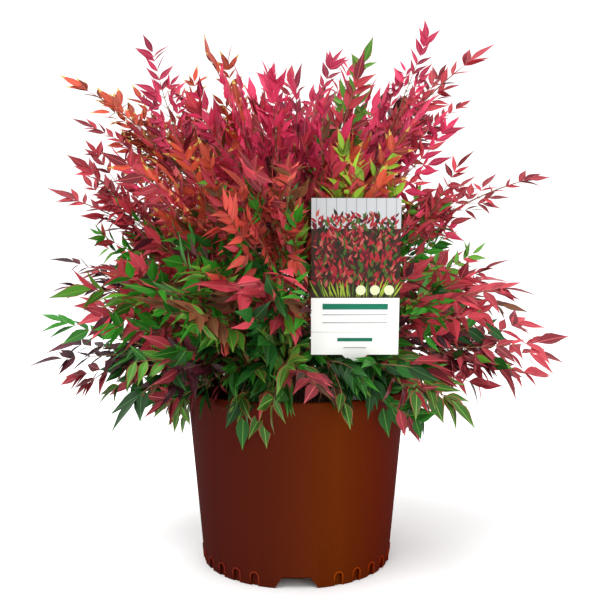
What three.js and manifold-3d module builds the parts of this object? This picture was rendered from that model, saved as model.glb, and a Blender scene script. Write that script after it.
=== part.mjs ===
// Heavenly bamboo in a nursery pot, in millimetres, +Z up, standing on Z = 0 with the pot's axis on the
// Z axis. Seen from -Y it shows its label. The pot is filled with potting mix, and canes rise from it. They
// carry masses of foliage, each one stem with side twigs and leaves, fused into one solid, grown by a seeded
// rule. Every mass keeps to its own cone of space, whose point is the crown's centre, so no two masses meet.

import * as THREE from "three";
import { mergeVertices } from "three/addons/utils/BufferGeometryUtils.js";
import Module from "manifold-3d";

const wasm = await Module();
wasm.setup();

// ---- Driving dimensions ----

const GAP = 0.35; // between pieces that touch on the real plant
const CUT_PAST = 6; // how far a cutting shape runs past the surface that it cuts
const POT = {
  segments: 60,
  height: 218,
  baseRadius: 119,
  lipRadius: 142.5,
  wallTopRadius: 139, // outside of the wall, where the lip starts
  lipHeight: 11,
  wall: 3.2,
  floor: 3.5,
  discRadius: 88, // the flat disc that the pot stands on
  footWidth: 5,
  ledgeHeight: 14.5, // underside of the raised ring between disc and foot
};
const NOTCH = { count: 3, topWidth: 32, bottomWidth: 50, height: 14 };
const FLUTE = { pitchDegrees: 12, perSector: 7, width: 9.6, height: 16, depth: 1.9, arcSteps: 4 };
const DRAIN = { count: 6, firstDegrees: 30, radius: 6, ringRadius: 101, sides: 8 };
const SOIL_TOP = 192;
const SOIL_GAP = 0.45;
const LABEL = {
  width: 100,
  height: 178,
  thickness: 0.9,
  x: 66.6,
  entryY: -102, // where it enters the potting mix
  leanDegrees: 8,
  bottomAboveSoil: 78,
  stemWidth: 13,
  stemDepth: 55,
  pointLength: 16,
  shoulder: 8,
};

const CENTRE = new THREE.Vector3(0, 0, 250); // the point that all the foliage radiates from
const CROWN_DEPTH = 0.9; // the crown's depth, as a share of its width
const CANE = { sides: 6, steps: 4, baseRadius: 4, tipRadius: 2.7, flareRadius: 6.4, flareHeight: 12 };
const OUTER_CANES = { count: 8, turn: 11, footRadius: 34, headRadius: 46, top: 306 };
const INNER_CANES = { count: 6, turn: 8, footRadius: 16, headRadius: 27, top: 330 };
const CENTRE_CANE_TOP = 338;

// A ring of masses: how many, the first one's azimuth from +X, the elevations at its stems' start and tip,
// how far its leaves reach from the crown's centre, and the pairs of twigs on each stem.
const RINGS = {
  skirt: { count: 8, turn: 22.5, start: 14, tip: -10, reach: 220, pairs: 3, nodeTurn: 10, depth: 0.93 },
  low: { count: 8, turn: 0, start: 10, tip: -5, reach: 300, pairs: 3 },
  side: { count: 8, turn: 22.5, start: 26, tip: 20, reach: 338, pairs: 3 },
  shoulder: { count: 8, turn: 0, start: 50, tip: 42, reach: 385, pairs: 3 },
  crown: { count: 6, turn: 0, start: 72, tip: 62, reach: 440, pairs: 4 },
  top: { count: 1, turn: 270, start: 84, tip: 86, reach: 422, pairs: 3 },
};
// The masses that stand out of their ring: the crown's long wands, and those that pass beside, over or
// under the label.
const SPECIAL = {
  skirt_7: { turn: -4 },
  low_1: { tip: -6, reach: 356 },
  low_5: { tip: -6, reach: 322 },
  low_7: { turn: -6 },
  low_8: { start: 3, tip: -6, reach: 285 },
  side_1: { reach: 352 },
  side_4: { reach: 380 },
  side_5: { reach: 318 },
  side_6: { turn: -9 },
  side_7: { turn: -27 },
  side_8: { turn: -3, reach: 322 },
  shoulder_1: { tip: 38, reach: 418 },
  shoulder_5: { start: 44, tip: 36, reach: 392 },
  shoulder_7: { turn: -10 },
  shoulder_8: { turn: -8, start: 62, tip: 54, reach: 346 },
  crown_1: { tip: 60, reach: 482 },
  crown_2: { turn: -15, reach: 484 },
  crown_3: { turn: 20, tip: 59, reach: 484 },
  crown_4: { start: 64, tip: 52, reach: 482 },
  crown_5: { reach: 420 },
  crown_6: { turn: 10, start: 76, tip: 72, reach: 392 },
};

// How far up the outer canes each ring's stems start, as a share of the cane.
const SEATS = { skirt: 0.44, low: 0.56, side: 0.72, shoulder: 1 };

const STEM = {
  sides: 3,
  startRadius: 2.1,
  tipRadius: 1.1,
  firstBend: 0.22, // the twigs spring from the stretches between these shares of the stem's length
  lastBend: 0.9,
  bendPower: 1.7, // above 1 the stem's elevation changes most near its tip
  seatFade: 3.2, // how fast the stem comes into line with the crown's centre
  axisAt: 0.72, // the share of the way from start to tip elevation where the mass's cone has its axis
  rollDegrees: 40,
};
const TWIG = {
  sides: 3,
  startRadius: 1.4,
  tipRadius: 1,
  spreadDegrees: 40,
  lengthShare: 0.3, // of the distance from the crown's centre
  sizes: [1, 0.6, 0.3], // tried in turn where a twig or its leaves would leave the mass's space
  rootLength: 5, // the stretch near the stem that needs no room of its own
};
const NODE_TURN = 64; // degrees that each pair of twigs is turned round the stem from the last
const LEAF = {
  length: 80,
  sideShare: 0.86, // length of a side leaf over the middle one's
  tipScale: 1.06, // length of the leaves on a stem's tip over the twigs'
  widthShare: 0.4,
  halfThick: 1.1, // at the root, on the underside
  widestAt: 0.42,
  notchAt: 0.13, // how far out two leaves part
  droop: 0.09,
  sideDegrees: 52,
  rollDegrees: 80,
  rolls: 4, // ways to face that are tried, evenly round half a turn
  sizes: [1, 0.85, 0.7, 0.55], // tried in turn where a leaf would leave its mass's space
};
const REACH_SIZES = [1, 0.9, 0.8, 0.7, 0.6]; // the same for a stem whose last leaves have no room
const INNER_CLEAR = 72; // no leaf is nearer than this to the centre
const CLEAR = { leaf: 0.5, twig: 1.6, label: 2.5, pot: 3 };
const FIRST_SEED = 101;

const COLOURS = {
  skirt: 0x2f6b2c,
  low: 0x7d3a34,
  side: 0xa8323f,
  shoulder: 0xb52f48,
  crown: 0xc22a55,
  top: 0xb62a4c,
};

// ---- Helpers ----

const rad = THREE.MathUtils.degToRad;
const UP = new THREE.Vector3(0, 0, 1);

// A small seeded generator (mulberry32): the same numbers every time.
function seeded(seed) {
  let state = seed >>> 0;
  return () => {
    state = (state + 0x6d2b79f5) >>> 0;
    let t = state;
    t = Math.imul(t ^ (t >>> 15), t | 1);
    t ^= t + Math.imul(t ^ (t >>> 7), t | 61);
    return ((t ^ (t >>> 14)) >>> 0) / 4294967296;
  };
}

// A closed geometry as a solid that can be cut and joined.
function solidOf(geometry) {
  const bare = geometry.index ? geometry.toNonIndexed() : geometry.clone();
  bare.deleteAttribute("normal");
  bare.deleteAttribute("uv");
  const merged = mergeVertices(bare, 1e-4);
  const corners = merged.index.array;
  const triVerts = [];
  for (let i = 0; i < corners.length; i += 3) {
    const [a, b, c] = [corners[i], corners[i + 1], corners[i + 2]];
    if (a !== b && b !== c && a !== c) triVerts.push(a, b, c);
  }
  return new wasm.Manifold(
    new wasm.Mesh({
      numProp: 3,
      vertProperties: new Float32Array(merged.attributes.position.array),
      triVerts: new Uint32Array(triVerts),
    }),
  );
}

// A solid as a geometry.
function geometryOf(solid) {
  const mesh = solid.getMesh();
  const positions = new Float32Array(mesh.numVert * 3);
  for (let i = 0; i < mesh.numVert; i++) {
    positions.set(mesh.vertProperties.subarray(i * mesh.numProp, i * mesh.numProp + 3), i * 3);
  }
  const geometry = new THREE.BufferGeometry();
  geometry.setAttribute("position", new THREE.BufferAttribute(positions, 3));
  geometry.setIndex(new THREE.BufferAttribute(mesh.triVerts, 1));
  geometry.computeVertexNormals();
  return geometry;
}

function meshOf(name, geometry, color, roughness = 0.6) {
  const material = new THREE.MeshStandardMaterial({ color, roughness, metalness: 0 });
  const mesh = new THREE.Mesh(geometry, material);
  mesh.name = name;
  return mesh;
}

// A closed geometry from corners and faces, each face a list of corner numbers seen from outside.
function polyhedron(points, faces) {
  const positions = [];
  for (const face of faces) {
    for (let i = 1; i + 1 < face.length; i++) {
      for (const corner of [face[0], face[i], face[i + 1]]) positions.push(...points[corner].toArray());
    }
  }
  const geometry = new THREE.BufferGeometry();
  geometry.setAttribute("position", new THREE.Float32BufferAttribute(positions, 3));
  return geometry;
}

// A tapering tube along points, whose rings' first corners face the way of the guide. Its first ring is
// square to the way that it faces, if one is given. Its ends are flat caps, or its last ring opens into a
// blade: an outline, and the corner under the blade's middle.
function tube(points, radii, sides, guide, { faces: firstFaces = null, blade = null } = {}) {
  const corners = [];
  points.forEach((point, i) => {
    const ahead = points[Math.min(i + 1, points.length - 1)];
    const behind = points[Math.max(i - 1, 0)];
    const along = i === 0 && firstFaces ? firstFaces : ahead.clone().sub(behind).normalize();
    const first = guide.clone().addScaledVector(along, -guide.dot(along)).normalize();
    const second = along.clone().cross(first);
    for (let k = 0; k < sides; k++) {
      const angle = (2 * Math.PI * k) / sides;
      const corner = point.clone().addScaledVector(first, radii[i] * Math.cos(angle));
      corners.push(corner.addScaledVector(second, radii[i] * Math.sin(angle)));
    }
  });
  const ring = [...Array(sides).keys()];
  const last = ring.map((k) => (points.length - 1) * sides + k);
  const faces = [ring.slice().reverse()];
  for (let i = 0; i + 1 < points.length; i++) {
    for (const k of ring) {
      const next = (k + 1) % sides;
      faces.push([i * sides + k, i * sides + next, (i + 1) * sides + next, (i + 1) * sides + k]);
    }
  }
  if (!blade) return polyhedron(corners, [...faces, last]);

  const [top, right, left] = last;
  const under = corners.length;
  const edge = [right, ...blade.outline.map((_, i) => under + 1 + i), left];
  faces.push([under, right, left]);
  for (let i = 0; i + 1 < edge.length; i++) {
    faces.push([top, edge[i], edge[i + 1]], [under, edge[i + 1], edge[i]]);
  }
  return polyhedron([...corners, blade.under, ...blade.outline], faces);
}

// The direction with this azimuth from +X and this elevation.
function direction(azimuthDegrees, elevationDegrees) {
  const [a, e] = [rad(azimuthDegrees), rad(elevationDegrees)];
  return new THREE.Vector3(Math.cos(e) * Math.cos(a), Math.cos(e) * Math.sin(a), Math.sin(e));
}

// ---- Pot and potting mix ----

// Outside and inside radius of the pot's wall at a height.
function wallRadius(z) {
  const wallTop = POT.height - POT.lipHeight;
  return POT.baseRadius + ((POT.wallTopRadius - POT.baseRadius) * z) / wallTop;
}

function innerRadius(z) {
  return wallRadius(z) - POT.wall;
}

function lathe(profile) {
  const points = profile.map(([r, z]) => new THREE.Vector2(r, z));
  return new THREE.LatheGeometry(points, POT.segments).rotateX(Math.PI / 2);
}

// A plate whose outline is drawn across (x) and up (y) a vertical face, and which runs outwards from a radius.
function radialPlate(shape, azimuthDegrees, fromRadius, depth) {
  const outward = direction(azimuthDegrees, 0);
  const across = UP.clone().cross(outward);
  const plate = new THREE.ExtrudeGeometry(shape, { depth, bevelEnabled: false });
  plate.applyMatrix4(new THREE.Matrix4().makeBasis(across, UP, outward));
  return plate.translate(outward.x * fromRadius, outward.y * fromRadius, 0);
}

function shapeOf(points) {
  return new THREE.Shape(points.map(([x, y]) => new THREE.Vector2(x, y)));
}

function notchShape() {
  const [top, bottom] = [NOTCH.topWidth / 2, NOTCH.bottomWidth / 2];
  return shapeOf([
    [-bottom, -CUT_PAST],
    [bottom, -CUT_PAST],
    [bottom, 0],
    [top, NOTCH.height],
    [-top, NOTCH.height],
    [-bottom, 0],
  ]);
}

function fluteShape() {
  const half = FLUTE.width / 2;
  const arch = [];
  for (let i = 0; i <= FLUTE.arcSteps; i++) {
    const angle = (Math.PI * i) / FLUTE.arcSteps;
    arch.push([half * Math.cos(angle), FLUTE.height - half + half * Math.sin(angle)]);
  }
  return shapeOf([[-half, -CUT_PAST], [half, -CUT_PAST], ...arch]);
}

function pot() {
  const wallTop = POT.height - POT.lipHeight;
  const ledgeTop = POT.ledgeHeight + POT.floor;
  const footInner = POT.baseRadius - POT.footWidth;
  let solid = solidOf(
    lathe([
      [0, 0],
      [POT.discRadius, 0],
      [POT.discRadius + 4, POT.ledgeHeight],
      [footInner, POT.ledgeHeight],
      [footInner, 0],
      [POT.baseRadius, 0],
      [wallRadius(wallTop), wallTop],
      [POT.lipRadius - 0.8, wallTop],
      [POT.lipRadius, POT.height - 1.5],
      [POT.lipRadius - 1.5, POT.height],
      [innerRadius(POT.height), POT.height],
      [innerRadius(ledgeTop), ledgeTop],
      [POT.discRadius + 2.5, ledgeTop],
      [POT.discRadius - 1.5, POT.floor],
      [0, POT.floor],
    ]),
  );
  const sector = 360 / NOTCH.count;
  for (let k = 0; k < NOTCH.count; k++) {
    const azimuth = 270 + sector * k;
    const notch = radialPlate(notchShape(), azimuth, footInner - CUT_PAST, POT.footWidth + 2 * CUT_PAST);
    solid = solid.subtract(solidOf(notch));
    for (let j = 0; j < FLUTE.perSector; j++) {
      const at = azimuth + FLUTE.pitchDegrees * (2 + j);
      const flute = radialPlate(fluteShape(), at, POT.baseRadius - FLUTE.depth, FLUTE.depth + CUT_PAST);
      solid = solid.subtract(solidOf(flute));
    }
  }
  for (let k = 0; k < DRAIN.count; k++) {
    const azimuth = DRAIN.firstDegrees + (360 / DRAIN.count) * k;
    const at = direction(azimuth, 0).multiplyScalar(DRAIN.ringRadius);
    const hole = new THREE.CylinderGeometry(DRAIN.radius, DRAIN.radius, POT.floor + CUT_PAST, DRAIN.sides);
    hole.rotateX(Math.PI / 2).translate(at.x, at.y, POT.ledgeHeight + POT.floor / 2);
    solid = solid.subtract(solidOf(hole));
  }
  return meshOf("pot", geometryOf(solid), 0x5a2416, 0.45);
}

// Box that holds the label's stem with room round it, for the slot in the potting mix.
function labelSlot() {
  const slot = new THREE.BoxGeometry(
    LABEL.stemWidth + 2 * SOIL_GAP,
    LABEL.thickness + 2 * SOIL_GAP,
    2 * (LABEL.stemDepth + 2),
  );
  return slot.applyMatrix4(labelFrame());
}

function soil() {
  const ledgeTop = POT.ledgeHeight + POT.floor;
  const sideRadius = (z) => innerRadius(z) - SOIL_GAP;
  const solid = solidOf(
    lathe([
      [0, POT.floor + SOIL_GAP],
      [POT.discRadius - 2, POT.floor + SOIL_GAP],
      [POT.discRadius + 2, ledgeTop + SOIL_GAP],
      [sideRadius(ledgeTop) - SOIL_GAP, ledgeTop + SOIL_GAP],
      [sideRadius(SOIL_TOP), SOIL_TOP],
      [0, SOIL_TOP],
    ]),
  );
  return meshOf("potting_mix", geometryOf(solid.subtract(solidOf(labelSlot()))), 0x2a1c12, 0.95);
}

// ---- Label ----

// The label's own frame: X across, Z up the card, origin where its stem enters the potting mix.
function labelFrame() {
  const lean = new THREE.Matrix4().makeRotationX(rad(LABEL.leanDegrees));
  return lean.premultiply(new THREE.Matrix4().makeTranslation(LABEL.x, LABEL.entryY, SOIL_TOP));
}

function label() {
  const [half, stem] = [LABEL.width / 2, LABEL.stemWidth / 2];
  const bottom = LABEL.bottomAboveSoil;
  const top = bottom + LABEL.height;
  const pointTop = LABEL.pointLength - LABEL.stemDepth;
  const outline = shapeOf([
    [0, -LABEL.stemDepth],
    [stem, pointTop],
    [stem, bottom - LABEL.shoulder],
    [stem + LABEL.shoulder, bottom],
    [half, bottom],
    [half, top],
    [-half, top],
    [-half, bottom],
    [-stem - LABEL.shoulder, bottom],
    [-stem, bottom - LABEL.shoulder],
    [-stem, pointTop],
  ]);
  const card = new THREE.ExtrudeGeometry(outline, { depth: LABEL.thickness, bevelEnabled: false });
  card.translate(0, 0, -LABEL.thickness / 2).rotateX(Math.PI / 2);
  return meshOf("plant_label", card.applyMatrix4(labelFrame()), 0xf2f2ee, 0.4);
}

const toLabel = labelFrame().invert();

// Whether a point lies in the label, too near it, or in front of its card.
function hitsLabel(point, room) {
  const p = point.clone().applyMatrix4(toLabel);
  const bottom = LABEL.bottomAboveSoil;
  const besideCard = Math.abs(p.x) < LABEL.width / 2 + room;
  const besideStem = Math.abs(p.x) < LABEL.stemWidth / 2 + room;
  const atCard = p.z > bottom - LABEL.shoulder - room && p.z < bottom + LABEL.height + room;
  return (besideCard && atCard && p.y < room) || (besideStem && p.z <= bottom && Math.abs(p.y) < room);
}

// Whether a point lies in the pot, its mouth or the potting mix, or too near them.
function hitsPot(point, room) {
  const r = Math.hypot(point.x, point.y);
  if (point.z > POT.height + room) return false;
  const outside = point.z > POT.height - POT.lipHeight - room ? POT.lipRadius : wallRadius(point.z);
  return r < outside + room;
}

// ---- Canes ----

// A cane rises from the potting mix and leans outwards. at(share) gives a point of it, and radius(share) half
// its thickness there.
function makeCane(name, azimuthDegrees, footRadius, headRadius, top) {
  const foot = direction(azimuthDegrees, 0).multiplyScalar(footRadius).setZ(SOIL_TOP + GAP);
  const head = direction(azimuthDegrees, 0).multiplyScalar(headRadius).setZ(top);
  const rise = top - foot.z;
  const at = (share) => {
    const lean = Math.pow(share, 1.5);
    return new THREE.Vector3(
      foot.x + (head.x - foot.x) * lean,
      foot.y + (head.y - foot.y) * lean,
      foot.z + rise * share,
    );
  };
  const radius = (share) => {
    const plain = CANE.baseRadius + (CANE.tipRadius - CANE.baseRadius) * share;
    const flare = Math.max(0, 1 - (share * rise) / CANE.flareHeight);
    return plain + (CANE.flareRadius - CANE.baseRadius) * flare * flare;
  };
  return { name, at, radius, rise };
}

function caneMesh(cane) {
  const shares = [0, CANE.flareHeight / cane.rise / 2, CANE.flareHeight / cane.rise];
  for (let i = 1; i <= CANE.steps; i++) shares.push(shares[2] + ((1 - shares[2]) * i) / CANE.steps);
  const points = shares.map(cane.at);
  const geometry = tube(points, shares.map(cane.radius), CANE.sides, new THREE.Vector3(1, 0, 0));
  // The foot's ring is made level, so that the cane ends in a flat cut at ground level.
  const corners = geometry.attributes.position;
  for (let i = 0; i < corners.count; i++) {
    if (corners.getZ(i) < points[0].z + 1) corners.setZ(i, points[0].z);
  }
  return meshOf(cane.name, geometry, 0x5b4630, 0.8);
}

function caneRing(prefix, ring) {
  return Array.from({ length: ring.count }, (_, k) =>
    makeCane(
      `${prefix}_${k + 1}`,
      ring.turn + (360 / ring.count) * k,
      ring.footRadius,
      ring.headRadius,
      ring.top,
    ),
  );
}

const outerCanes = caneRing("cane_outer", OUTER_CANES);
const innerCanes = caneRing("cane_inner", INNER_CANES);
const centreCane = makeCane("cane_centre", 90, 0, 4, CENTRE_CANE_TOP);

// ---- Masses of foliage ----

// Which cane carries a mass, and how far up it the mass's stem starts.
function carrierOf(ringName, k) {
  if (ringName === "top") return { cane: centreCane, share: 1 };
  if (ringName === "crown") return { cane: innerCanes[k], share: 1 };
  return { cane: outerCanes[k], share: SEATS[ringName] };
}

// The masses, each with its azimuth, elevations, reach and seat.
function plan() {
  const masses = [];
  for (const [ringName, ring] of Object.entries(RINGS)) {
    for (let k = 0; k < ring.count; k++) {
      const name = `${ringName}_${k + 1}`;
      const special = SPECIAL[name] ?? {};
      const azimuth = ring.turn + (360 / ring.count) * k + (special.turn ?? 0);
      const sideways = Math.abs(Math.cos(rad(azimuth)));
      const depth = ring.depth ?? CROWN_DEPTH;
      const start = special.start ?? ring.start;
      const tip = special.tip ?? ring.tip;
      const reach = special.reach ?? ring.reach * (depth + (1 - depth) * sideways);
      masses.push({
        name,
        ringName,
        azimuth,
        start,
        tip,
        reach,
        pairs: ring.pairs,
        nodeTurn: ring.nodeTurn ?? NODE_TURN,
        axis: direction(azimuth, start + (tip - start) * STEM.axisAt),
        carrier: carrierOf(ringName, k),
      });
    }
  }
  return masses;
}

// Where a mass's stem starts, just clear of its cane, and the way that the cane's surface faces there.
function seatOf(mass) {
  const { cane, share } = mass.carrier;
  const axis = cane.at(share).sub(cane.at(share - 0.05)).normalize();
  if (share === 1) return { start: cane.at(1).addScaledVector(axis, GAP), faces: axis };
  const outward = direction(mass.azimuth, 0);
  const faces = outward.addScaledVector(axis, -outward.dot(axis)).normalize();
  return { start: cane.at(share).addScaledVector(faces, cane.radius(share) + GAP), faces };
}

// The line of a mass's stem: from its seat, along an arc of changing elevation, to where its last leaves
// start. A size under 1 stops it short on the same arc.
function stemLine(mass, size) {
  const offset = seatOf(mass).start.sub(CENTRE);
  const endRadius = mass.reach - LEAF.length * LEAF.tipScale;
  return (s) => {
    const done = s * size;
    const elevation = mass.start + (mass.tip - mass.start) * Math.pow(done, STEM.bendPower);
    const radius = offset.length() + (endRadius - offset.length()) * done;
    const onArc = direction(mass.azimuth, elevation).multiplyScalar(radius);
    const blend = Math.max(0, 1 - done * STEM.seatFade);
    return onArc.lerp(offset.clone().multiplyScalar(1 + done), blend * blend).add(CENTRE);
  };
}

// The corners of one leaf in its own plane: how far along it and how far across it each one lies.
const BLADE = [
  [LEAF.widestAt, -0.5],
  [1, 0],
  [LEAF.widestAt, 0.5],
];

// The frame of a leaf that turns aside from its twig: the way that it points and the way across it.
function leafFrame(along, normal, turnDegrees) {
  const forward = along.clone().applyAxisAngle(normal, rad(turnDegrees));
  return { forward, across: normal.clone().cross(forward) };
}

function leafCorners(root, frame, normal, length) {
  return BLADE.map(([share, side]) =>
    root
      .clone()
      .addScaledVector(frame.forward, share * length)
      .addScaledVector(frame.across, side * LEAF.widthShare * length)
      .addScaledVector(normal, -LEAF.droop * length * share),
  );
}

const BETWEEN = [0.1, 0.2, 0.3, 0.4, 0.5, 0.6, 0.7, 0.8, 0.9];

// Whether a set of corners stays in its mass's cone and clear of everything else.
function hasRoom(corners, space, room) {
  const samples = [...corners];
  for (let i = 0; i < corners.length; i++) {
    for (let j = i + 1; j < corners.length; j++) {
      for (const t of BETWEEN) samples.push(corners[i].clone().lerp(corners[j], t));
    }
  }
  return samples.every((point) => {
    const offset = point.clone().sub(CENTRE);
    if (offset.length() < INNER_CLEAR || offset.length() > space.reach) return false;
    if (space.planes.some((plane) => plane.dot(offset) < room)) return false;
    return !hitsLabel(point, CLEAR.label) && !hitsPot(point, CLEAR.pot);
  });
}

// The largest size in turn at which a leaf has room, or nothing.
function fitLeaf(root, along, normal, turn, length, space) {
  const frame = leafFrame(along, normal, turn);
  for (const size of LEAF.sizes) {
    const corners = leafCorners(root, frame, normal, length * size);
    if (hasRoom([root, ...corners], space, CLEAR.leaf)) return { turn, corners, area: length * size * size };
  }
  return null;
}

// Three leaves at a twig's end, as the blade that its tube opens into. The side leaves may be missing, but
// without room for the middle one there is no blade.
function leavesAt(root, along, normal, length, space) {
  const middle = fitLeaf(root, along, normal, 0, length, space);
  if (!middle) return null;
  const sideLength = length * LEAF.sideShare;
  const right = fitLeaf(root, along, normal, -LEAF.sideDegrees, sideLength, space);
  const left = fitLeaf(root, along, normal, LEAF.sideDegrees, sideLength, space);
  const leaves = [right, middle, left].filter(Boolean);
  const outline = leaves.flatMap((leaf, i) => {
    if (i === 0) return leaf.corners;
    const between = leafFrame(along, normal, (leaf.turn + leaves[i - 1].turn) / 2);
    return [root.clone().addScaledVector(between.forward, LEAF.notchAt * length), ...leaf.corners];
  });
  const under = root.clone().addScaledVector(along, 1).addScaledVector(normal, -LEAF.halfThick);
  const area = leaves.reduce((sum, leaf) => sum + leaf.area, 0);
  return { outline, under, normal, area };
}

// The widest leaves that a twig's end has room for, of those rolled to several sides round it.
function widestLeaves(root, along, roll, length, space) {
  let widest = null;
  for (let k = 0; k < LEAF.rolls; k++) {
    const normal = facing(along, roll + (Math.PI * k) / LEAF.rolls);
    const leaves = leavesAt(root, along, normal, length, space);
    if (leaves && (!widest || leaves.area > widest.area)) widest = leaves;
  }
  return widest;
}

// The way that a twig's leaves face: up, square to the twig, then rolled round it.
function facing(along, rollRadians) {
  return UP.clone().addScaledVector(along, -UP.dot(along)).normalize().applyAxisAngle(along, rollRadians);
}

// Grows one mass: its stem, pairs of side twigs, and three leaves at the end of each.
function growMass(mass, space, seed) {
  const random = seeded(seed);
  const jitter = (degrees) => rad((random() * 2 - 1) * degrees);
  const roll = jitter(Math.min(STEM.rollDegrees, mass.nodeTurn));
  let line;
  let tip = null;
  for (const size of REACH_SIZES) {
    line = stemLine(mass, size);
    const along = line(1).sub(line(0.9)).normalize();
    tip = widestLeaves(line(1), along, roll, LEAF.length * LEAF.tipScale, space);
    if (tip) break;
  }
  if (!tip) throw new Error(`${mass.name} has no room`);

  const stretch = (STEM.lastBend - STEM.firstBend) / mass.pairs;
  const bends = Array.from({ length: mass.pairs + 1 }, (_, i) => STEM.firstBend + stretch * i);
  const shares = [0, ...bends, 1];
  const points = shares.map(line);
  const radii = shares.map((s) => STEM.startRadius + (STEM.tipRadius - STEM.startRadius) * s);
  const stem = tube(points, radii, STEM.sides, tip.normal, { faces: seatOf(mass).faces, blade: tip });
  let solid = solidOf(stem);

  for (let j = 0; j < mass.pairs; j++) {
    // A pair of twigs springs from the middle of a straight stretch of the stem.
    const [behind, ahead] = [points[j + 1], points[j + 2]];
    const start = behind.clone().lerp(ahead, 0.5);
    const along = ahead.clone().sub(behind).normalize();
    const across = along.clone().cross(UP).normalize().applyAxisAngle(along, roll + rad(mass.nodeTurn * j));
    const length = start.distanceTo(CENTRE) * TWIG.lengthShare;
    for (const side of [1, -1]) {
      const spread = side * rad(TWIG.spreadDegrees);
      const heading = along.clone().multiplyScalar(Math.cos(spread));
      heading.addScaledVector(across, Math.sin(spread));
      const leafRoll = jitter(LEAF.rollDegrees);
      for (const share of TWIG.sizes) {
        const end = start.clone().addScaledVector(heading, length * share);
        const root = start.clone().addScaledVector(heading, TWIG.rootLength);
        if (!hasRoom([root, end], space, CLEAR.twig)) continue;
        const leaves = widestLeaves(end, heading, leafRoll, LEAF.length, space);
        if (!leaves) continue;
        const radii = [TWIG.startRadius, TWIG.tipRadius];
        const twig = tube([start, end], radii, TWIG.sides, leaves.normal, { blade: leaves });
        solid = solid.add(solidOf(twig));
        break;
      }
    }
  }
  return solid;
}

// ---- The plant ----

const plant = new THREE.Group();
plant.add(pot(), soil(), label());
for (const cane of [...outerCanes, ...innerCanes, centreCane]) plant.add(caneMesh(cane));

const masses = plan();
masses.forEach((mass, i) => {
  const others = masses.filter((other) => other !== mass);
  const planes = others.map((other) => mass.axis.clone().sub(other.axis).normalize());
  const solid = growMass(mass, { planes, reach: mass.reach + 1 }, FIRST_SEED + i);
  plant.add(meshOf(`foliage_${mass.name}`, geometryOf(solid), COLOURS[mass.ringName]));
});

export default plant;
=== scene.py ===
"""Looks of a heavenly bamboo in a nursery pot, in metres, +Z up, standing on Z = 0 with the pot's axis on the
Z axis. Seen from -Y it shows its label. The foliage grows by the same rule as the solids: every mass has one
stem and keeps to its own cone of space, whose point is the crown's centre. Here the rule goes on to finer
twigs and to single leaflets, which are dealt out by spray to leaf kinds with a few base colours each."""

import math
import random
from itertools import zip_longest
from types import SimpleNamespace as Sizes

import bpy
import numpy as np
from mathutils import Matrix, Quaternion, Vector, noise


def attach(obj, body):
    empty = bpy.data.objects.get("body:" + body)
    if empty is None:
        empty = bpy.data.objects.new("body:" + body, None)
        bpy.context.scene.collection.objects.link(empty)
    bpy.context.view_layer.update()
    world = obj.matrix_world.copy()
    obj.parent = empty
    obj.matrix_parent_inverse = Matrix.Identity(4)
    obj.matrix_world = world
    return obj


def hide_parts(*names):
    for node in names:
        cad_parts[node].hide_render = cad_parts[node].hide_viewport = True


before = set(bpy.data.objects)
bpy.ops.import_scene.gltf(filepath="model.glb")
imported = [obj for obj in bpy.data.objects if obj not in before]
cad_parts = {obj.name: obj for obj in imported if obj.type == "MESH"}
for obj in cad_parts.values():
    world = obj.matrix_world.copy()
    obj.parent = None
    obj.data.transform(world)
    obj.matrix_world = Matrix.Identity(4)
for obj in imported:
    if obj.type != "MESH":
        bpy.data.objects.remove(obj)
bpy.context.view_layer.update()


def table(columns, *rows):
    """Rows of values by their names. A value has its column's name, and is None where its row is shorter."""
    return {name: Sizes(**dict(zip_longest(columns.split(), values))) for name, *values in rows}


# ---- Sizes, most of them shared with the solids ----

GAP = 0.00035  # between pieces that touch on the real plant
POT = Sizes(
    height=0.218, base_radius=0.119, lip_radius=0.1425, wall_top_radius=0.139, lip_height=0.011, wall=0.0032,
    floor=0.0035, disc_radius=0.088, foot_width=0.005, ledge_height=0.0145, segments=192,
)
WALL_TOP = POT.height - POT.lip_height
FOOT_INNER = POT.base_radius - POT.foot_width
LEDGE_TOP = POT.ledge_height + POT.floor
NOTCH = Sizes(count=3, first=270, top_width=0.032, bottom_width=0.050, height=0.014)
FLUTE = Sizes(
    pitch=12, per_sector=7, skipped=2, width=0.0096, height=0.016, depth=0.0026, arc_steps=12,
    # The last value makes the flute rims brighter than the pot: a painted highlight.
    rim=0.0010, rim_out=0.6, rim_sides=6, rim_light=2.6,
)
DRAIN = Sizes(count=6, first=30, radius=0.006, ring_radius=0.101, sides=24)
CUT_PAST = 0.006  # how far a cutting shape runs past the surface that it cuts
SHARP_FROM = 32  # degrees between faces that meet in a sharp edge
SOIL_TOP = 0.192
SOIL_GAP = 0.00045
LABEL = Sizes(
    width=0.100, height=0.178, thickness=0.0009, x=0.0666, entry_y=-0.102, lean=8, bottom=0.078,
    stem_width=0.013, shoulder=0.008,
)

CENTRE = Vector((0, 0, 0.250))  # the point that all the foliage radiates from
CANE = Sizes(base_radius=0.004, tip_radius=0.0027, flare_radius=0.0064, flare_height=0.012, lean_power=1.5)
OUTER_CANES = Sizes(count=8, turn=11, foot=0.034, head=0.046, top=0.306)
INNER_CANES = Sizes(count=6, turn=8, foot=0.016, head=0.027, top=0.330)
CENTRE_CANE = Sizes(turn=90, foot=0, head=0.004, top=0.338)

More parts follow.
